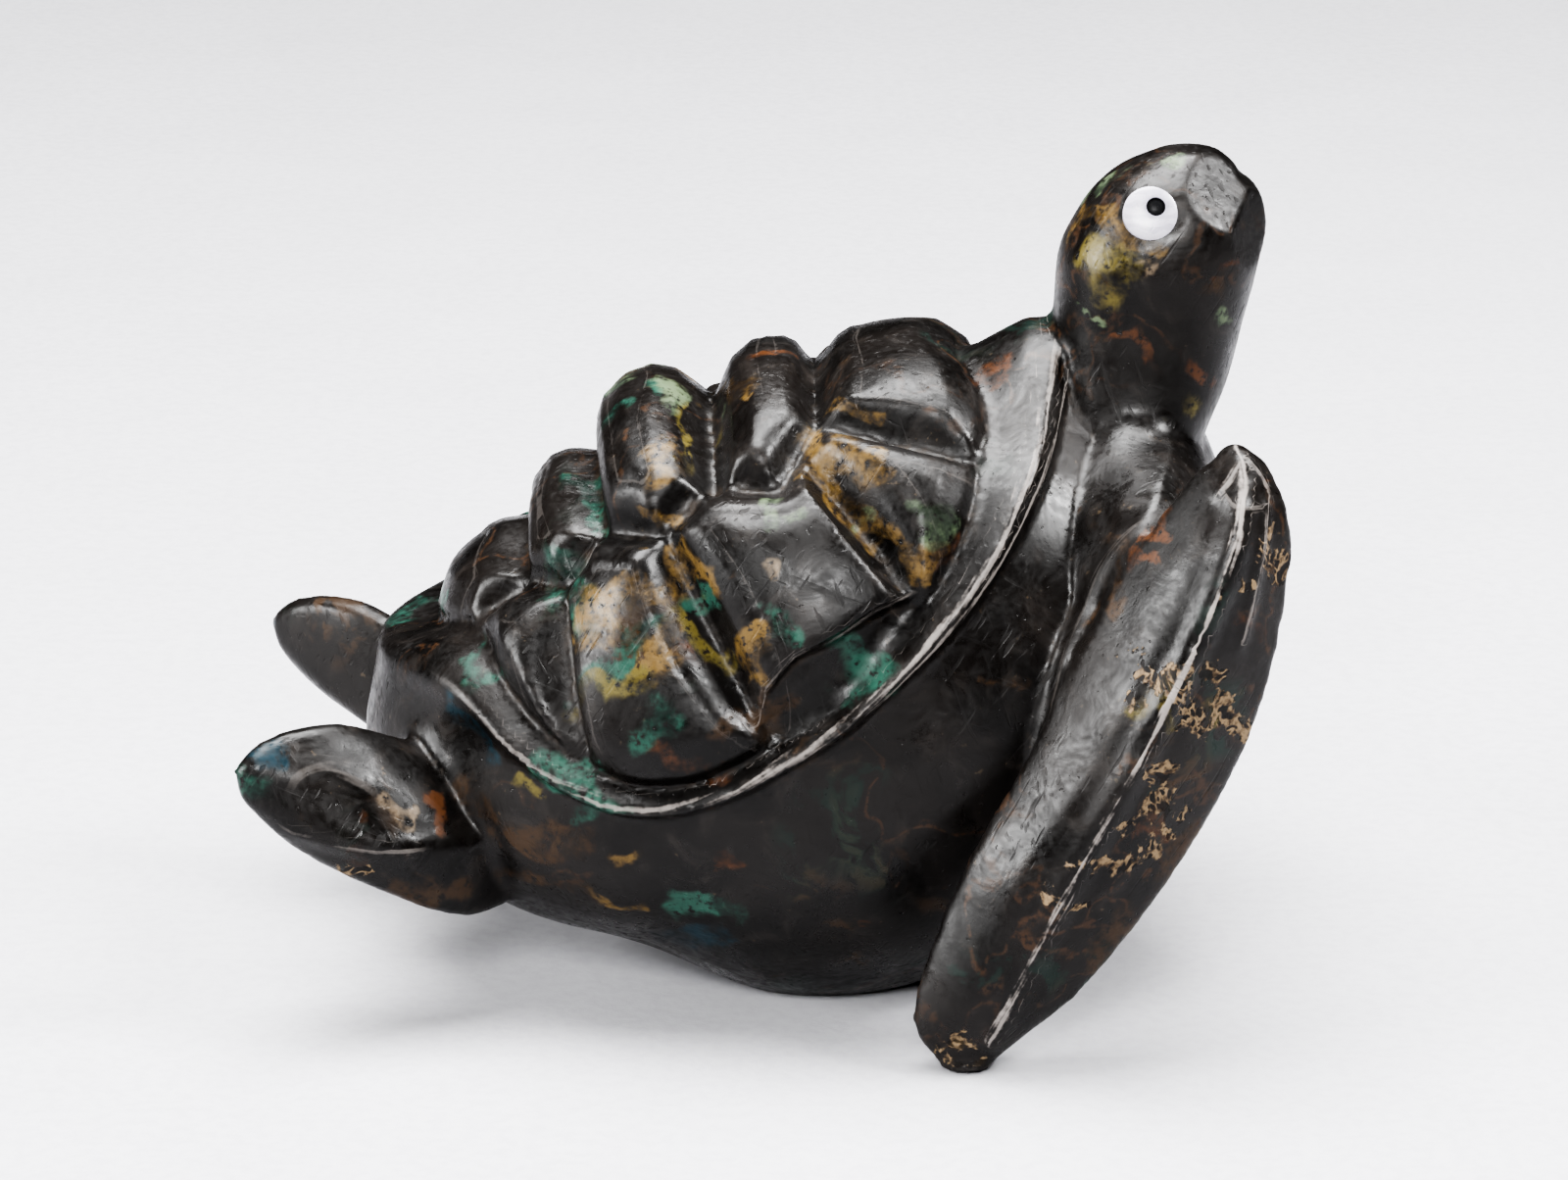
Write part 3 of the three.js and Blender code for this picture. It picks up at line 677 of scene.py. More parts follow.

# pale lines of wear and painted highlight on the shell: the rim's crest and edge, the edges of the seams and the ledge
carved = carvedEgg(places - centre)
shellShare = ramp(snap, 0.4, 0.9)
fromFront = np.minimum(carved["heading"], 360 - carved["heading"])
alongBand = carved["bandWidth"] * carved["degree"]
onScutes = ramp(-carved["grooveGap"], 0.4, 1.2)
for kind, line, across, where in (
        ("wearAndSheen", "crest", (carved["bandShare"] - crestShare) * alongBand, 1 - ramp(fromFront, 120, 160)),
        ("wearAndSheen", "seams", carved["edgeGap"], onScutes),
        ("second", "rim", (carved["bandShare"] - 1) * alongBand, 1 - ramp(fromFront, 60, 90)),
        ("second", "ledge", carved["ledgeGap"], onScutes * carved["ledgeWindow"])):
    halfWidth, strength = shellLines[line]
    addWearAndSheen(kind, across / halfWidth, strength * shellShare * where)

# hollows and raised edges, from how far the mean of the neighbours lies outside the surface
blurred = relax(places, stoneMesh["hollowPasses"], np.ones(count), 0)
hollow = rowDot(blurred - places, normals)
wide = relax(blurred, stoneMesh["deepPasses"], np.ones(count), 0)
deepHollow = rowDot(wide - places, normals)

# coloured marks in the stone on the right side, each at a place or from a place to a place, with its radius
marks = {
    "teal": [
        [-8.7, -3.1, 34.1, 0.6], [-6.4, -1.7, 35.6, 0.6],
        [-9.4, -6.9, 29.2, -10, -3.6, 30.2, 0.4], [-11.4, -8.8, 26.1, -10.3, -12.6, 25.4, 0.9],
        [-8.9, -15.5, 21.8, -7.8, -15.2, 23.6, 0.8], [-7.3, -15.3, 24, -5.5, -15.5, 24.9, 0.6],
        [-6.4, -17, 19.3, -5.3, -17, 20.7, 0.9], [-3, -14, 26.7, -2.5, -14.7, 26.4, 0.5],
        [1, -17.1, 25.6, 1.5, -17.2, 25.3, 0.5], [4.4, -17.5, 24.2, 5.9, -16.9, 23, 0.9],
        [-10.4, -14.6, 13.7, -9, -16.1, 15.1, 0.5], [-12.6, -14.1, 17, -9, -15.3, 15.9, 0.4],
        [-18.5, -0, 22.7, -18.2, -2.5, 22.5, 0.7], [-16.3, -8.6, 21.2, -15.9, -9.9, 20.5, 0.5],
        [-4, -14.6, 8.2, -1.7, -15.1, 7.8, 0.7], [-29.6, -14.3, 15.2, 0.7],
    ],
    "paleGreen": [
        [-5.9, -1.4, 35.7, -4.5, -3.4, 35, 0.7], [0.7, -12.6, 32, 1.7, -13.6, 31.6, 0.4],
        [6.1, -12.4, 30.6, 6.5, -12.6, 30.4, 0.3], [9.6, -14, 30.3, 9.9, -13.7, 31.2, 0.6],
        [20.5, -0.3, 47.6, 20.8, -1.2, 47.7, 0.5], [22.8, -1.3, 48.7, 23.4, -1.7, 48.8, 0.5],
        [17.7, -2.7, 41.1, 20.2, -4.9, 40.3, 0.2], [26.7, -4.1, 40.6, 27.1, -3.6, 40.1, 0.25],
    ],
    "blue": [
        [-4.7, -11.4, 4.8, -2.4, -13.3, 5.8, 0.7], [-28.3, -13.5, 17.1, -27.9, -13.6, 17, 0.6],
        [-17.8, -9.9, 19.2, -16, -11.1, 17, 0.5],
    ],
    "olive": [
        [-9.7, -15.5, 20.7, -7.5, -16.1, 21.9, 0.5], [-4.1, -3.4, 34.6, -3.8, -9.2, 32.6, 0.4],
        [-8.3, -15.8, 21.6, -6.5, -16.2, 22.5, 0.5], [-4.3, -14.4, 25.7, -2.5, -15.1, 23.4, 0.5],
        [22.1, -20.8, 23.1, 22.3, -21, 23, 0.5], [25.6, -19.6, 21.7, 25.8, -19.4, 21.3, 0.5],
        [-13.5, -13, 15.5, -12.7, -13.5, 15.2, 0.4], [19.6, -4.1, 43.8, 20.3, -4.8, 43.1, 0.9],
        [24.6, -5.2, 34.9, 25, -4.9, 34.5, 0.4],
    ],
    "ochre": [
        [-5.6, -8.4, 33.6, -5.1, -9.6, 32.9, 0.7], [-6.8, -10.6, 30.3, -5.5, -11.4, 30.1, 0.3],
        [-1.9, -2.7, 35.8, -0.6, -5.4, 36.4, 0.5], [4.5, -6.7, 35.8, 6.2, -7.8, 35.6, 0.4],
        [2.8, -8.2, 34, 3.9, -10.2, 33.4, 0.7], [4.7, -10.5, 33.8, 6.6, -11.4, 33.6, 0.7],
        [8.7, -14.4, 28.7, 9.5, -14.5, 29.3, 0.5], [3.2, -9.9, 32.8, 5.9, -12.2, 30.6, 0.5],
        [6.5, -12.7, 30.2, 8.4, -14.3, 28.5, 0.5], [-4, -13.1, 28.7, -2.9, -14.6, 28, 0.7],
        [-1, -16.1, 23.7, 0.2, -17.3, 23.6, 0.7], [-9.7, -13.6, 24.5, -8.5, -13.5, 26.2, 0.7],
        [-8.3, -13.5, 26.5, -5, -13.2, 27.4, 0.7], [-6.3, -16.3, 22.6, -5, -15.9, 24.2, 0.5],
        [-4.9, -15.7, 24.5, -4.5, -14.9, 25.4, 0.5], [11.4, -20.5, 1.7, 11.7, -20.4, 1.1, 0.4],
        [-7.6, -15.3, 11.8, -6.5, -15.4, 11.2, 0.5], [-9.5, -13.5, 8.3, -6.4, -13.9, 7.9, 0.3],
        [18.5, -0.4, 45.3, 21.1, -3.3, 45.3, 0.7], [20.9, -4.5, 44.8, 22.7, -5, 44.4, 0.5],
    ],
    "rust": [
        [0.4, 0.8, 37.3, 1, 0.4, 37.4, 0.6], [10.2, -14.5, 29, 10.5, -14.2, 29.4, 0.6],
        [-4, -15.9, 23.8, -3.7, -16.1, 23.4, 0.5], [-5, -17.5, 18.5, -3, -17.4, 17.9, 0.6],
        [27.3, -18.7, 26.3, 28.2, -17.8, 25.7, 0.3], [21.9, -20.6, 15.1, 22.9, -19.9, 14.9, 0.5],
        [21.1, -14.6, 30.1, 22.4, -15.9, 31.3, 0.3], [20.6, -15.2, 29.3, 21.6, -16.6, 29.4, 0.3],
        [10.7, -19.2, 7.9, 10.8, -19.3, 7.8, 0.2], [-1.7, -16.3, 11.6, -1.4, -16.4, 11.4, 0.3],
        [-23.6, -14.6, 11.6, -22.4, -14.6, 11.5, 0.3], [-22.7, -14.4, 13.5, -22.4, -14.4, 13.3, 0.3],
        [-18.8, -11.5, 14.1, -17.9, -12.3, 12.5, 0.2], [25, -5.1, 42.8, 27.1, -4.2, 42.9, 0.3],
        [21.4, -5.2, 39.5, 22.6, -5.4, 38.1, 0.25], [25.4, -4.7, 37.2, 25.4, -4.7, 36.9, 0.55],
        [13.9, -3.7, 36.4, 13.2, -4.5, 35.9, 0.6], [13.7, -3, 36.6, 14.5, -2.7, 37, 0.4],
    ],
    "cream": [
        [0.5, -15, 29.6, 1.4, -15.4, 29.2, 0.35],
        [-20.6, -13.6, 13.1, -19.8, -12.6, 13.7, 0.3], [21.6, -5.2, 43, 21.9, -5.3, 42.8, 0.15],
    ],
    "brown": [
        [23.9, -18.9, 13.8, 23, -18.7, 11.2, 0.8], [20.8, -19.5, 9.2, 19.7, -19.5, 7.4, 0.8],
        [19.4, -15.3, 27.1, 18.6, -15.2, 25.4, 0.3], [18.4, -10.6, 30.5, 18.5, -11, 30.3, 0.3],
        [18.8, -12.8, 29.5, 19, -13.3, 29.4, 0.4], [13.5, -15.9, 22.3, 14.8, -15.7, 21.9, 0.3],
        [-13.1, -13.1, 11.5, -9.7, -14.7, 12, 0.5], [-15, -11.1, 9.6, -12, -12.7, 8.8, 0.5],
        [-12, -12.7, 8.8, -9.5, -13.5, 8.3, 0.4], [-19.9, -13.1, 8.5, -17.9, -12.9, 9, 0.8],
        [25.2, -5.1, 42.3, 26.1, -4.7, 42.1, 0.5], [-1.2, -17.2, 20.3, 1.5, -17.8, 21.1, 0.6],
        [20.4, -16.5, 27.9, 19.1, -13.6, 29.3, 0.5], [-17.1, -10.7, 14.2, -15.4, -11.8, 12.2, 0.5],
    ],
    "tan": [
        [20.8, -19, 25.3, 21.3, -20, 24, 0.5], [21.3, -20, 24, 22, -20.6, 23.5, 0.4],
        [23.6, -21.1, 23.8, 24.7, -20.1, 21.4, 0.7], [26.4, -18.9, 21.4, 27.3, -17.9, 20.5, 0.6],
        [25.5, -20, 24.5, 26.3, -19.3, 23.7, 0.5], [26.4, -19.5, 29.9, 26.5, -19.4, 29.3, 0.2],
        [28.6, -17.4, 30.2, 29.1, -16.9, 29.2, 0.5], [21.9, -21.1, 18, 22.9, -20.4, 17.3, 0.5],
        [21.2, -21, 16, 23.3, -19.9, 15.6, 0.6], [18.6, -21.5, 12.9, 21.1, -20.7, 13.6, 0.3],
        [21.1, -20.7, 13.6, 22.7, -19.6, 13.6, 0.3], [15.8, -21.3, 11.4, 17.9, -21.4, 11.1, 0.3],
        [10.9, -20.5, 2.5, 11.6, -20.4, 1.2, 0.5],
        [-23.7, -14, 10.7, -23.3, -14, 10.5, 0.4],
    ],
}
markShifts = {"along": 2.6, "up": 1.1}  # how the left side's marks lie away from the right side's
markWarps = [[2.6, 1.7, 10], [1.1, 0.6, 20]]  # size, height and seed of the waves that make their outlines ragged
warped = np.stack([sum(waveOf(places, size, seed + k) * height for size, height, seed in markWarps)
                   for k in range(3)], axis=1)


def markField(kind):
    # one at the middle of a mark, a third at its edge and nothing beyond
    field = np.zeros(count)
    left = places[:, 1] > 0
    there = np.stack([places[:, 0] + markShifts["along"] * left, -np.abs(places[:, 1]),
                      places[:, 2] + markShifts["up"] * left], axis=1)
    there += warped
    outward = np.stack([normals[:, 0], normals[:, 1] * np.where(left, -1, 1), normals[:, 2]], axis=1)
    for mark in marks[kind]:
        a, b, radius = np.array(mark[:3]), np.array(mark[-4:-1]), mark[-1]
        run = b - a + 1e-6
        share = np.clip((there - a) @ run / (run @ run), 0, 1)
        gap = there - (a + share[:, None] * run)
        deep = rowDot(gap, outward)
        flat = np.sqrt(np.maximum(rowDot(gap, gap) - deep**2, 0) + (0.35 * deep) ** 2)
        field = np.maximum(field, np.clip(1 - flat / (2.3 * radius + 0.15), 0, 1))
    return field


def keepField(name, *fields):
    if len(fields) == 1:
        mesh.attributes.new(name, "FLOAT", "POINT").data.foreach_set("value", fields[0].astype(np.float32))
    else:
        rows = np.stack(fields, axis=1).astype(np.float32).ravel()
        mesh.attributes.new(name, "FLOAT_COLOR", "POINT").data.foreach_set("color", rows)


for kind, (across, near) in wearAndSheenLines.items():
    keepField(kind + "Across", np.clip(across, -9, 9))
    keepField(kind + "Near", near)
keepField("hollow", hollow)
keepField("deepHollow", deepHollow)
keepField("greenMarks", *[markField(kind) for kind in ("teal", "paleGreen", "blue", "olive")])
keepField("earthMarks", *[markField(kind) for kind in ("ochre", "rust", "cream", "brown")])
keepField("laceMarks", markField("tan"))
makeActive(stone)
bpy.ops.object.shade_smooth()
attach(stone, "root")
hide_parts("turtle")
print("marked stone")


def eyeMatrix(side):
    turn = math.radians(eyes["upturn"])
    outward = Vector((0, side * math.cos(turn), math.sin(turn)))
    up = Vector((0, -side * math.sin(turn), math.cos(turn)))
    basis = Matrix((Vector((1, 0, 0)), up, outward)).transposed().to_4x4()
    return Matrix.Translation(Vector((eyes["x"], side * eyes["y"], eyes["z"])) * mm) @ basis


def eyePost(form, place):
    # a short post whose top is inset into rings and domed
    radius, depth, top = form["size"] / 2 * mm, eyes["depth"] * mm, form["top"] * mm
    deselectAll()
    bpy.ops.mesh.primitive_cylinder_add(vertices=form["sides"], radius=radius, depth=depth,
                                        location=(*place, top - depth / 2))
    post = bpy.context.object
    bpy.ops.object.transform_apply(location=True, rotation=True, scale=True)
    bpy.ops.object.mode_set(mode="EDIT")
    bpy.ops.mesh.select_all(action="DESELECT")
    bpy.ops.object.mode_set(mode="OBJECT")
    for face in post.data.polygons:
        face.select = face.normal.z > 0.9
    bpy.ops.object.mode_set(mode="EDIT")
    for _ in range(form["insets"]):
        bpy.ops.mesh.inset(thickness=radius / form["insetShare"])
    bpy.ops.object.mode_set(mode="OBJECT")
    for vertex in post.data.vertices:
        if vertex.co.z > top - depth / 2:
            away = min(math.hypot(vertex.co.x - place[0], vertex.co.y - place[1]) / radius, 1)
            vertex.co.z = top - form["fall"] * mm * away ** form["power"]
    return post


def eyePiece(kind):
    # the ring is drilled for the pupil, which sits a little forward and up in it
    pupilPlace = (eyes["pupilForward"] * mm, eyes["pupilUp"] * mm)
    piece = eyePost(eyes[kind], (0, 0) if kind == "ring" else pupilPlace)
    if kind == "ring":
        deselectAll()
        bpy.ops.mesh.primitive_cylinder_add(vertices=48, radius=(eyes["pupil"]["size"] / 2 + eyes["play"]) * mm,
                                            depth=4 * eyes["depth"] * mm, location=(*pupilPlace, 0))
        drill = bpy.context.object
        applyModifier(piece, "BOOLEAN", operation="DIFFERENCE", object=drill, solver="EXACT")
        bpy.data.objects.remove(drill)
    applyModifier(piece, "BEVEL", width=eyes[kind]["bevel"] * mm, segments=3, limit_method="ANGLE",
                  angle_limit=math.radians(45))
    return piece


eyePieces = {"ring": [], "pupil": []}
for side, word in ((-1, "right"), (1, "left")):
    for kind, slot in (("ring", "shell"), ("pupil", "jet")):
        piece = eyePiece(kind)
        piece.name = f"{word}Eye{kind.capitalize()}"
        piece.data.transform(eyeMatrix(side))
        if side > 0:  # the left side's basis is left handed, so its faces are turned back
            piece.data.flip_normals()
        makeActive(piece)
        bpy.ops.object.shade_smooth_by_angle(angle=math.radians(35))
        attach(piece, "root")
        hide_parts(f"{word}_eye_{kind}")
        eyePieces[kind].append(piece)
print("inlaid eyes")


def addNode(tree, kind, values=None, **settings):
    node = tree.nodes.new("ShaderNode" + kind)
    node.location = (220 * (len(tree.nodes) % 12), -260 * (len(tree.nodes) // 12))
    for name, value in settings.items():
        setattr(node, name, value)
    for name, value in (values or {}).items():
        socket = node.inputs[name]
        if isinstance(value, bpy.types.NodeSocket):
            tree.links.new(value, socket)
        else:
            socket.default_value = (*value, 1) if socket.type == "RGBA" else value
    return node


def treeOf(*values):
    return next(value.id_data for value in values if isinstance(value, bpy.types.NodeSocket))


def maths(operation, first, second=0.0, clamp=False):
    return addNode(treeOf(first, second), "Math", {0: first, 1: second}, operation=operation,
                   use_clamp=clamp).outputs[0]


def plus(first, second):
    return maths("ADD", first, second)


def minus(first, second):
    return maths("SUBTRACT", first, second)


def times(first, second):
    return maths("MULTIPLY", first, second)


def larger(first, second):
    return maths("MAXIMUM", first, second)


def inverse(value):
    return minus(1.0, value)


def swayed(value, amount):
    # noise around its middle
    return times(minus(value, 0.5), amount)


def summed(start, rows):
    # rows of a mask and how much of it counts
    for mask, amount in rows:
        start = plus(start, times(mask, amount))
    return start


def maskFrom(value, low, high):
    # nothing below low, all above high
    return addNode(treeOf(value), "MapRange", {"Value": value, "From Min": low, "From Max": high},
                   interpolation_type="SMOOTHSTEP").outputs["Result"]


def blended(share, under, over):
    return addNode(treeOf(share), "Mix", {"Factor": share, 6: under, 7: over}, data_type="RGBA").outputs[2]


def noiseOf(vector, scale, detail=4.0, rough=0.55, distortion=0.0):
    return addNode(treeOf(vector), "TexNoise", {"Vector": vector, "Scale": scale, "Detail": detail,
                                                "Roughness": rough, "Distortion": distortion}).outputs["Fac"]


def vectorMaths(operation, *values):
    return addNode(treeOf(*values), "VectorMath", dict(enumerate(values)), operation=operation).outputs


def newEffect(name, output, inputs, build):
    # a node group with one output, to be placed in each material with its own values
    group = bpy.data.node_groups.new(name, "ShaderNodeTree")
    for label, value in inputs.items():
        kind = "NodeSocketVector" if value is None else "NodeSocketFloat"
        socket = group.interface.new_socket(label, in_out="INPUT", socket_type=kind)
        if value is not None:
            socket.default_value = value
    group.interface.new_socket(output, in_out="OUTPUT", socket_type="NodeSocketFloat")
    given = group.nodes.new("NodeGroupInput").outputs
    group.links.new(build(group, given), group.nodes.new("NodeGroupOutput").inputs[output])
    return group


def placed(group, **values):
    return addNode(treeOf(*values.values()), "Group", values, node_tree=group).outputs[0]


# effects that the stone, the shell beads and the jet dots share
def scratchMask(tree, given):
    mask = 0.0
    for turn, strength in ((-0.62, 1.0), (0.35, 0.6), (1.2, 0.4)):
        turned = addNode(tree, "Mapping", {"Vector": given["Vector"], "Rotation": (0.2, turn, turn / 3)})
        split = addNode(tree, "SeparateXYZ", {"Vector": turned.outputs["Vector"]}).outputs
        long = times(split["Z"], given["Stretch"])
        drawn = addNode(tree, "CombineXYZ", {"X": split["X"], "Y": split["Y"], "Z": long}).outputs["Vector"]
        grain = noiseOf(drawn, given["Scale"], 1.0, 0.6)
        mask = larger(mask, times(maskFrom(grain, 0.63, 0.72), strength))
    patchy = maskFrom(noiseOf(given["Vector"], 150.0, 0.0), 0.4, 0.62)
    return times(mask, times(patchy, given["Amount"]))


def polishRoughness(tree, given):
    cloud = noiseOf(given["Vector"], given["Scale"], 3.0, 0.6)
    finer = noiseOf(given["Vector"], times(given["Scale"], 9.0), 1.0)
    cloud = plus(times(cloud, 0.62), times(finer, 0.38))
    return addNode(tree, "MapRange", {"Value": cloud, "From Min": 0.33, "From Max": 0.67, "To Min": given["Smooth"],
                                      "To Max": given["Dull"]}).outputs["Result"]


def dustMask(tree, given):
    speckle = noiseOf(given["Vector"], 1500.0, 2.0, 0.7)
    lifted = plus(given["Hollow"], swayed(speckle, 0.1))
    return times(maskFrom(lifted, given["From"], given["To"]), given["Amount"])


def markMask(tree, given):
    # one coloured mark with a ragged edge
    pushed = plus(given["Field"], swayed(given["Noise"], given["Ragged"]))
    inside = maths("GREATER_THAN", given["Field"], 0.02)
    low, high = minus(given["Edge"], given["Soft"]), plus(given["Edge"], given["Soft"])
    return times(times(maskFrom(pushed, low, high), inside), given["Strength"])


# a pale line of wear and painted highlight, drawn along a ridge
def wearAndSheenMask(tree, given):
    # streaks run along the line, because the noise changes fast across it and slowly along it
    aside = addNode(tree, "CombineXYZ", {"X": times(given["Across"], 0.9)}).outputs["Vector"]
    drawn = vectorMaths("MULTIPLY_ADD", given["Vector"], (300.0, 300.0, 300.0), aside)[0]
    streak = noiseOf(drawn, 1.0, 1.0, 0.6)
    close = maths("SUBTRACT", 1.0, times(maths("ABSOLUTE", given["Across"]), 0.42), True)
    line = plus(times(close, 0.66), swayed(streak, 1.5))
    line = plus(line, swayed(given["Grain"], 0.5))
    line = times(maskFrom(line, 0.4, 0.75), maskFrom(close, 0.02, 0.3))
    return times(line, given["Near"])


scratchGroup = newEffect("fineScratches", "Mask", {
    "Vector": None, "Scale": 900.0, "Stretch": 0.05, "Amount": 0.5}, scratchMask)
polishGroup = newEffect("handPolish", "Roughness", {
    "Vector": None, "Scale": 220.0, "Smooth": 0.2, "Dull": 0.4}, polishRoughness)
dustGroup = newEffect("dustInHollows", "Mask", {
    "Vector": None, "Hollow": 0.0, "From": 0.02, "To": 0.12, "Amount": 0.6}, dustMask)
markGroup = newEffect("raggedMark", "Mask", {
    "Field": 0.0, "Noise": 0.5, "Ragged": 0.5, "Edge": 0.46, "Soft": 0.06, "Strength": 1.0}, markMask)
wearAndSheenGroup = newEffect("wearAndSheenLine", "Mask", {
    "Vector": None, "Across": 9.0, "Near": 0.0, "Grain": 0.5}, wearAndSheenMask)


def newMaterial(name):
    material = bpy.data.materials.new(name)
    material.use_nodes = True
    return material, material.node_tree, addNode(material.node_tree, "TexCoord").outputs["Object"]


def polished(vector, finish):
    return placed(polishGroup, Vector=vector, Scale=finish["polish"], Smooth=finish["smooth"], Dull=finish["dull"])


def finished(material, color, rough, height, finish):
    tree = material.node_tree
    shader = tree.nodes["Principled BSDF"].inputs
    strength, distance = finish["relief"]
    bump = addNode(tree, "Bump", {"Height": height, "Strength": strength, "Distance": distance})
    for name, value in (("Base Color", color), ("Roughness", rough), ("Normal", bump.outputs["Normal"])):
        tree.links.new(value, shader[name])
    shader["Specular IOR Level"].default_value = finish["specular"]
    return material


# colours, roughness, how strongly it mirrors, and the strength and depth of its relief
stoneFinish = {
    "black": (0.0022, 0.0018, 0.0016), "charcoal": (0.0055, 0.0045, 0.004), "ash": (0.012, 0.01, 0.0088),
    "vein": (0.035, 0.017, 0.008), "speck": (0.07, 0.05, 0.03),
    "teal": ((0.003, 0.012, 0.009), (0.013, 0.042, 0.03)), "paleGreen": ((0.016, 0.026, 0.016), (0.06, 0.078, 0.045)),
    "blue": ((0.0015, 0.006, 0.009), (0.0035, 0.016, 0.023)), "olive": ((0.014, 0.011, 0.003), (0.062, 0.05, 0.013)),
    "ochre": ((0.014, 0.008, 0.003), (0.072, 0.045, 0.014)), "rust": ((0.008, 0.0035, 0.002), (0.042, 0.016, 0.006)),
    "cream": ((0.02, 0.014, 0.009), (0.12, 0.09, 0.06)), "brown": ((0.006, 0.0035, 0.002), (0.024, 0.013, 0.006)),
    "lace": ((0.022, 0.013, 0.007), (0.12, 0.084, 0.048)), "laceHole": (0.003, 0.002, 0.0018),
    # the pale colour of wear on ridges and edges, partly a painted highlight
    "wearAndSheen": (0.15, 0.135, 0.125), "dust": (0.022, 0.014, 0.008),
    "polish": 240.0, "smooth": 0.2, "dull": 0.52, "specular": 0.18, "relief": (0.55, 0.00012),
}
# the layers of marks: colour, the attribute and its channel, how ragged, how soft its edge and how strong
markLayers = [
    ("brown", "earthMarks", 3, 1.5, 0.2, 0.9), ("rust", "earthMarks", 1, 1.5, 0.17, 0.9),
    ("teal", "greenMarks", 0, 1.2, 0.2, 1.0), ("blue", "greenMarks", 2, 1.2, 0.25, 0.85),
    ("ochre", "earthMarks", 0, 1.2, 0.16, 1.0), ("olive", "greenMarks", 3, 1.2, 0.2, 0.95),
    ("paleGreen", "greenMarks", 1, 1.3, 0.2, 0.9), ("cream", "earthMarks", 2, 1.3, 0.25, 0.7),
]


def buildStone(finish=stoneFinish):
    material, tree, spot = newMaterial("polishedStone")

    def field(name, output="Fac"):
        return addNode(tree, "Attribute", attribute_name=name).outputs[output]

    swirl = addNode(tree, "TexNoise", {"Vector": spot, "Scale": 260.0, "Detail": 1.0}).outputs["Color"]
    swirl = vectorMaths("SUBTRACT", swirl, (0.5, 0.5, 0.5))[0]
    bent = vectorMaths("MULTIPLY_ADD", swirl, (0.0035, 0.0035, 0.0035), spot)[0]
    clouds = noiseOf(bent, 130.0, 3.0, 0.6)
    middle = noiseOf(bent, 520.0, 3.0, 0.62)
    fine = noiseOf(spot, 1900.0, 2.0, 0.65)
    color = blended(maskFrom(clouds, 0.36, 0.62), finish["black"], finish["charcoal"])
    color = blended(times(maskFrom(middle, 0.52, 0.74), 0.7), color, finish["ash"])

    # thin brown veins and small pale specks
    veinLine = maths("ABSOLUTE", minus(noiseOf(bent, 95.0, 3.0, 0.62), 0.5))
    veinGate = maskFrom(noiseOf(spot, 60.0, 2.0), 0.5, 0.62)
    vein = times(inverse(maskFrom(veinLine, 0.002, 0.014)), veinGate)
    vein = times(vein, maskFrom(fine, 0.38, 0.6))
    color = blended(times(vein, 0.55), color, finish["vein"])
    speck = times(maskFrom(fine, 0.66, 0.74), maskFrom(middle, 0.5, 0.6))
    color = blended(times(speck, 0.3), color, finish["speck"])

    # sparse mottling of the same minerals all over, also on the hidden side
    warm = times(maskFrom(noiseOf(bent, 75.0, 3.0), 0.6, 0.68), maskFrom(middle, 0.5, 0.6))
    color = blended(times(warm, 0.75), color, finish["brown"][1])
    greenNoise = noiseOf(bent, 68.0, 2.0, 0.5, 0.4)
    green = times(maskFrom(greenNoise, 0.62, 0.7), maskFrom(middle, 0.48, 0.56))
    color = blended(times(green, 0.6), color, finish["teal"][0])

    # coloured marks, with the dark stone showing through in clouds and small dots
    channels = {}
    for name in ("greenMarks", "earthMarks"):
        parts = addNode(tree, "SeparateColor", {"Color": field(name, "Color")}).outputs
        channels[name] = [*parts[:3], field(name, "Alpha")]
    shades = plus(times(noiseOf(bent, 330.0, 3.0, 0.5), 0.7), times(fine, 0.3))
    broken = plus(times(maskFrom(shades, 0.4, 0.58), 0.6), 0.4)
    broken = times(broken, maskFrom(fine, 0.3, 0.46))
    marked = 0.0
    for kind, name, channel, roughly, soft, strength in markLayers:
        mask = placed(markGroup, Field=channels[name][channel], Noise=middle, Ragged=roughly, Soft=soft,
                      Strength=strength)
        tint = blended(maskFrom(shades, 0.36, 0.66), *finish[kind])
        color = blended(times(mask, broken), color, tint)
        marked = larger(marked, mask)

    # porous tan lace: threads around dark holes
    threads = maths("ABSOLUTE", minus(noiseOf(bent, 1300.0, 1.5, 0.6), 0.5))
    laceNoise = plus(times(middle, 0.55), times(fine, 0.45))
    lace = placed(markGroup, Field=field("laceMarks"), Noise=laceNoise, Ragged=2.6, Soft=0.1, Edge=0.5)
    color = blended(times(lace, 0.7), color, finish["laceHole"])
    thread = times(lace, inverse(maskFrom(threads, 0.03, 0.095)))
    color = blended(thread, color, blended(maskFrom(fine, 0.35, 0.62), *finish["lace"]))

    # pale wear and painted highlight on the ridges and raised edges, then dust in the cuts
    hollow = field("hollow")
    # raised edges are paler: wear, and partly a painted highlight
    raised = times(maskFrom(times(hollow, -1.0), 0.045, 0.13), maskFrom(fine, 0.42, 0.62))
    wearAndSheen = times(raised, 0.12)
    for kind in ("wearAndSheen", "second"):
        wearAndSheen = larger(wearAndSheen, placed(wearAndSheenGroup, Vector=spot, Across=field(kind + "Across"),
                                         Near=field(kind + "Near"), Grain=fine))
    color = blended(wearAndSheen, color, finish["wearAndSheen"])
    dust = larger(placed(dustGroup, Vector=spot, Hollow=hollow, From=0.05, To=0.16, Amount=0.5),
                  placed(dustGroup, Vector=bent, Hollow=field("deepHollow"), From=0.16, To=0.6, Amount=0.35))
    color = blended(dust, color, finish["dust"])

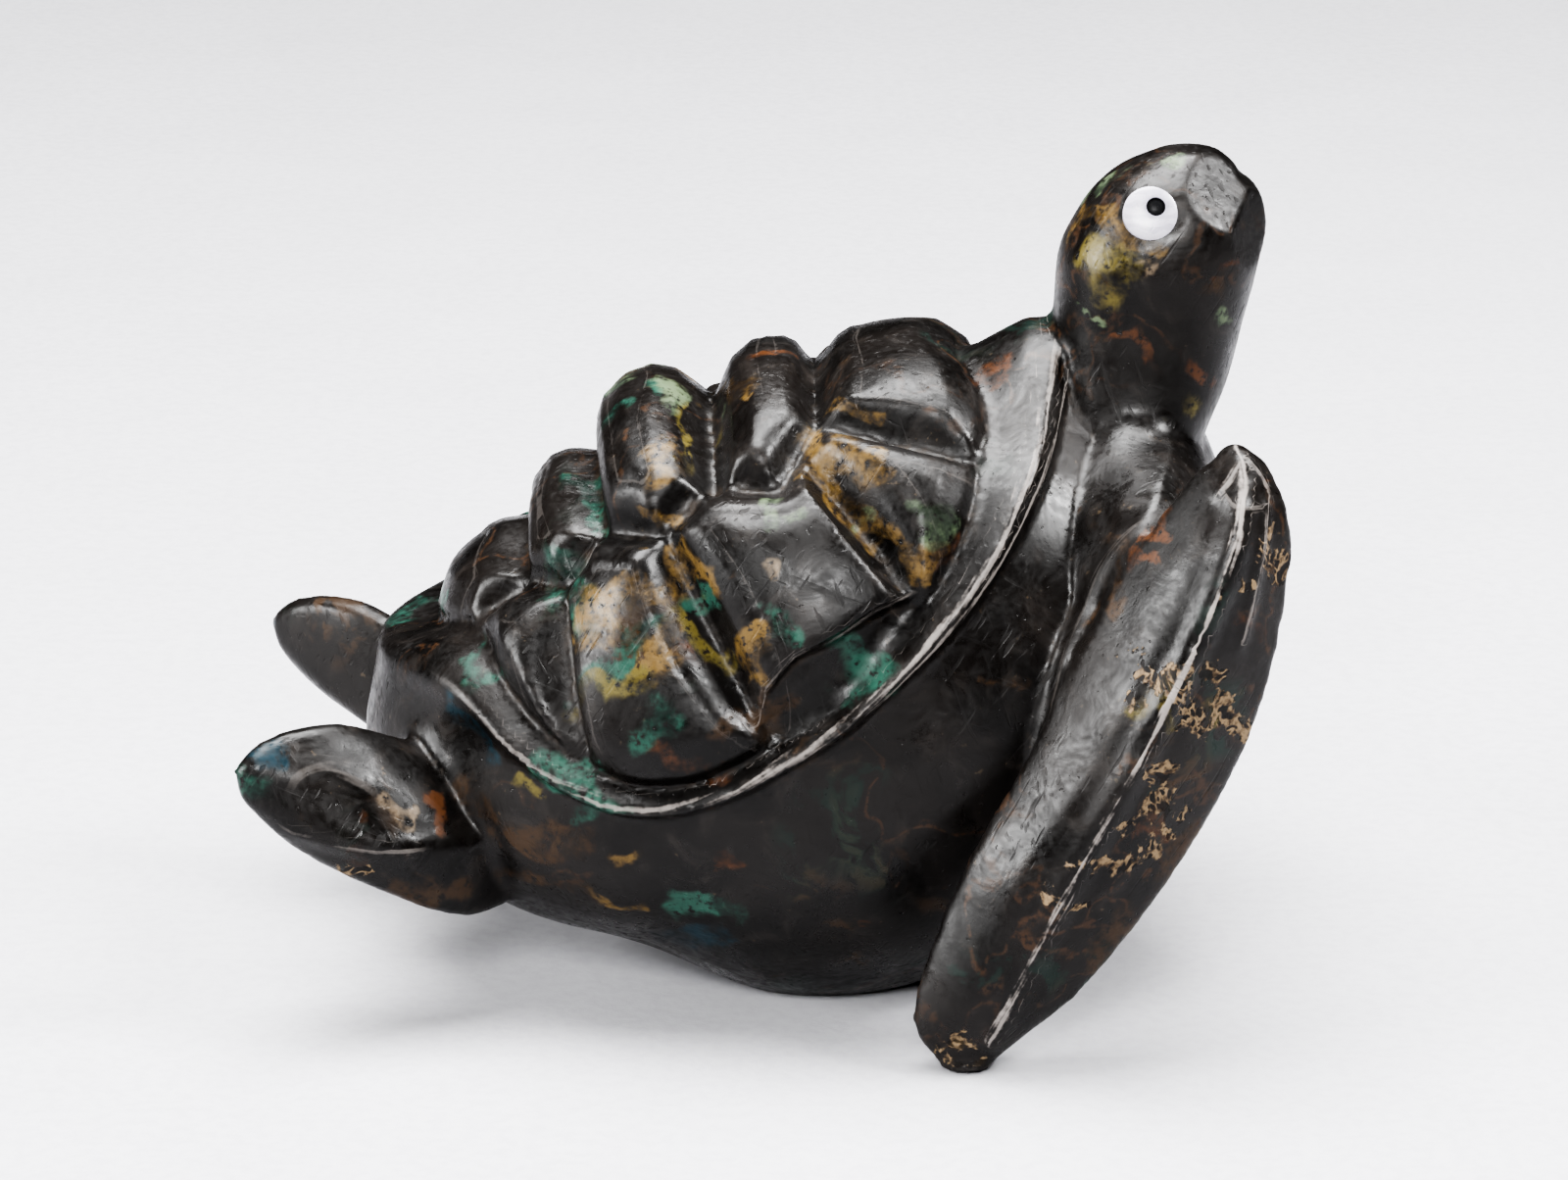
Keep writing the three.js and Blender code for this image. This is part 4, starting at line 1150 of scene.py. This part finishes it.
    # polish and relief, with scratches and pits
    scratched = placed(scratchGroup, Vector=spot, Scale=2400.0, Stretch=0.04, Amount=1.0)
    pitted = inverse(maskFrom(fine, 0.24, 0.31))
    rough = summed(polished(bent, finish), (
        (scratched, 0.2), (marked, 0.03), (lace, 0.3), (wearAndSheen, 0.18), (dust, 0.35)))
    height = summed(times(middle, 0.5), (
        (scratched, -0.2), (pitted, -0.3), (fine, 0.1), (lace, -0.25), (thread, 0.45)))
    return finished(material, color, maths("MINIMUM", rough, 0.9), height, finish)


beadFinish = {
    "white": (0.26, 0.25, 0.28), "shade": (0.12, 0.115, 0.145), "warm": (0.24, 0.22, 0.2),
    "pupil": (0.02262, 0.00405, 0.04662),  # the middle of the pupils, with both sides folded together
    "polish": 900.0, "smooth": 0.22, "dull": 0.38, "specular": 0.5, "relief": (0.4, 0.00004),
}


def buildBead(finish=beadFinish):
    material, tree, spot = newMaterial("shellBead")
    layers = addNode(tree, "TexWave", {"Vector": spot, "Scale": 520.0, "Distortion": 5.0, "Detail": 3.0,
                                       "Detail Scale": 1.4}, bands_direction="Z").outputs["Fac"]
    cloud = noiseOf(spot, 700.0, 4.0)
    color = blended(times(maskFrom(layers, 0.45, 0.8), 0.3), finish["white"], finish["shade"])
    color = blended(times(maskFrom(cloud, 0.5, 0.7), 0.25), color, finish["warm"])
    # greyer around the pupil
    folded = vectorMaths("ABSOLUTE", spot)[0]
    reach = vectorMaths("DISTANCE", folded, finish["pupil"])["Value"]
    around = inverse(maskFrom(times(reach, 1000.0), 0.5, 1.0))
    color = blended(times(around, 0.75), color, finish["shade"])
    scratched = placed(scratchGroup, Vector=spot, Scale=4000.0, Stretch=0.08, Amount=0.7)
    color = blended(times(scratched, 0.2), color, finish["shade"])
    height = plus(times(scratched, -0.3), times(cloud, 0.4))
    return finished(material, color, polished(spot, finish), height, finish)


jetFinish = {
    "black": (0.004, 0.004, 0.0045), "grey": (0.012, 0.012, 0.012),
    "polish": 1800.0, "smooth": 0.25, "dull": 0.45, "specular": 0.05, "relief": (0.3, 0.00003),
}


def buildJet(finish=jetFinish):
    material, tree, spot = newMaterial("jetDot")
    cloud = noiseOf(spot, 2600.0, 4.0)
    scratched = placed(scratchGroup, Vector=spot, Scale=5000.0, Stretch=0.1, Amount=0.8)
    greyer = larger(times(scratched, 0.5), maskFrom(cloud, 0.55, 0.75))
    color = blended(greyer, finish["black"], finish["grey"])
    return finished(material, color, polished(spot, finish), times(scratched, -0.4), finish)


floorFinish = {
    "pale": (0.31, 0.308, 0.322), "shade": (0.29, 0.288, 0.302),
    "polish": 60.0, "smooth": 0.5, "dull": 0.65, "specular": 0.5, "relief": (0.25, 0.0001),
}


def buildFloor(finish=floorFinish):
    material, tree, spot = newMaterial("paleFloor")
    grain = noiseOf(spot, 1100.0, 3.0)
    color = blended(maskFrom(grain, 0.4, 0.65), finish["pale"], finish["shade"])
    return finished(material, color, polished(spot, finish), grain, finish)


def dress(pieces, material):
    for piece in pieces:
        piece.data.materials.clear()
        piece.data.materials.append(material)


dress([stone], buildStone())
dress(eyePieces["ring"], buildBead())
dress(eyePieces["pupil"], buildJet())
print("dressed pieces")

# the stage, in metres: a pale floor, soft lights and the camera at the photograph's angle
deselectAll()
bpy.ops.mesh.primitive_plane_add(size=4)
floor = bpy.context.object
floor.name = "floor"
dress([floor], buildFloor())

lights = {  # place, width, height and power
    "overhead": ((-0.02, 0.04, 0.41), 0.32, 0.26, 9),
    "window": ((-0.5, -0.15, 0.2), 0.26, 0.24, 6.5),
    "front": ((-0.03, -0.42, 0.27), 0.16, 0.12, 3.8),
    "side": ((0.3, -0.06, 0.32), 0.14, 0.12, 4),
}
lightTarget = Vector((0, 0, 0.02))
for name, (place, width, height, power) in lights.items():
    lamp = bpy.data.lights.new(name, "AREA")
    lamp.shape = "RECTANGLE"
    lamp.size, lamp.size_y, lamp.energy = width, height, power
    light = bpy.data.objects.new(name, lamp)
    bpy.context.collection.objects.link(light)
    light.location = place
    light.rotation_euler = (lightTarget - Vector(place)).to_track_quat("-Z", "Y").to_euler()

world = bpy.data.worlds.new("studio")
bpy.context.scene.world = world
world.use_nodes = True
background = world.node_tree.nodes["Background"].inputs
background["Color"].default_value = (0.8, 0.81, 0.83, 1)
background["Strength"].default_value = 0.03
bpy.context.scene.view_settings.look = "AgX - High Contrast"

view = {"target": (0.0015, 0, 0.02245), "distance": 0.36, "elevation": 18, "lens": 140.9, "sensor": 36}
elevation = math.radians(view["elevation"])
cameraData = bpy.data.cameras.new("camera")
cameraData.lens = view["lens"]
cameraData.sensor_width = view["sensor"]
cameraData.clip_start = 0.01
camera = bpy.data.objects.new("camera", cameraData)
bpy.context.collection.objects.link(camera)
backwards = Vector((0, -math.cos(elevation), math.sin(elevation)))
camera.location = Vector(view["target"]) + view["distance"] * backwards
camera.rotation_euler = (math.radians(90) - elevation, 0, 0)
bpy.context.scene.camera = camera
print("lit and framed")
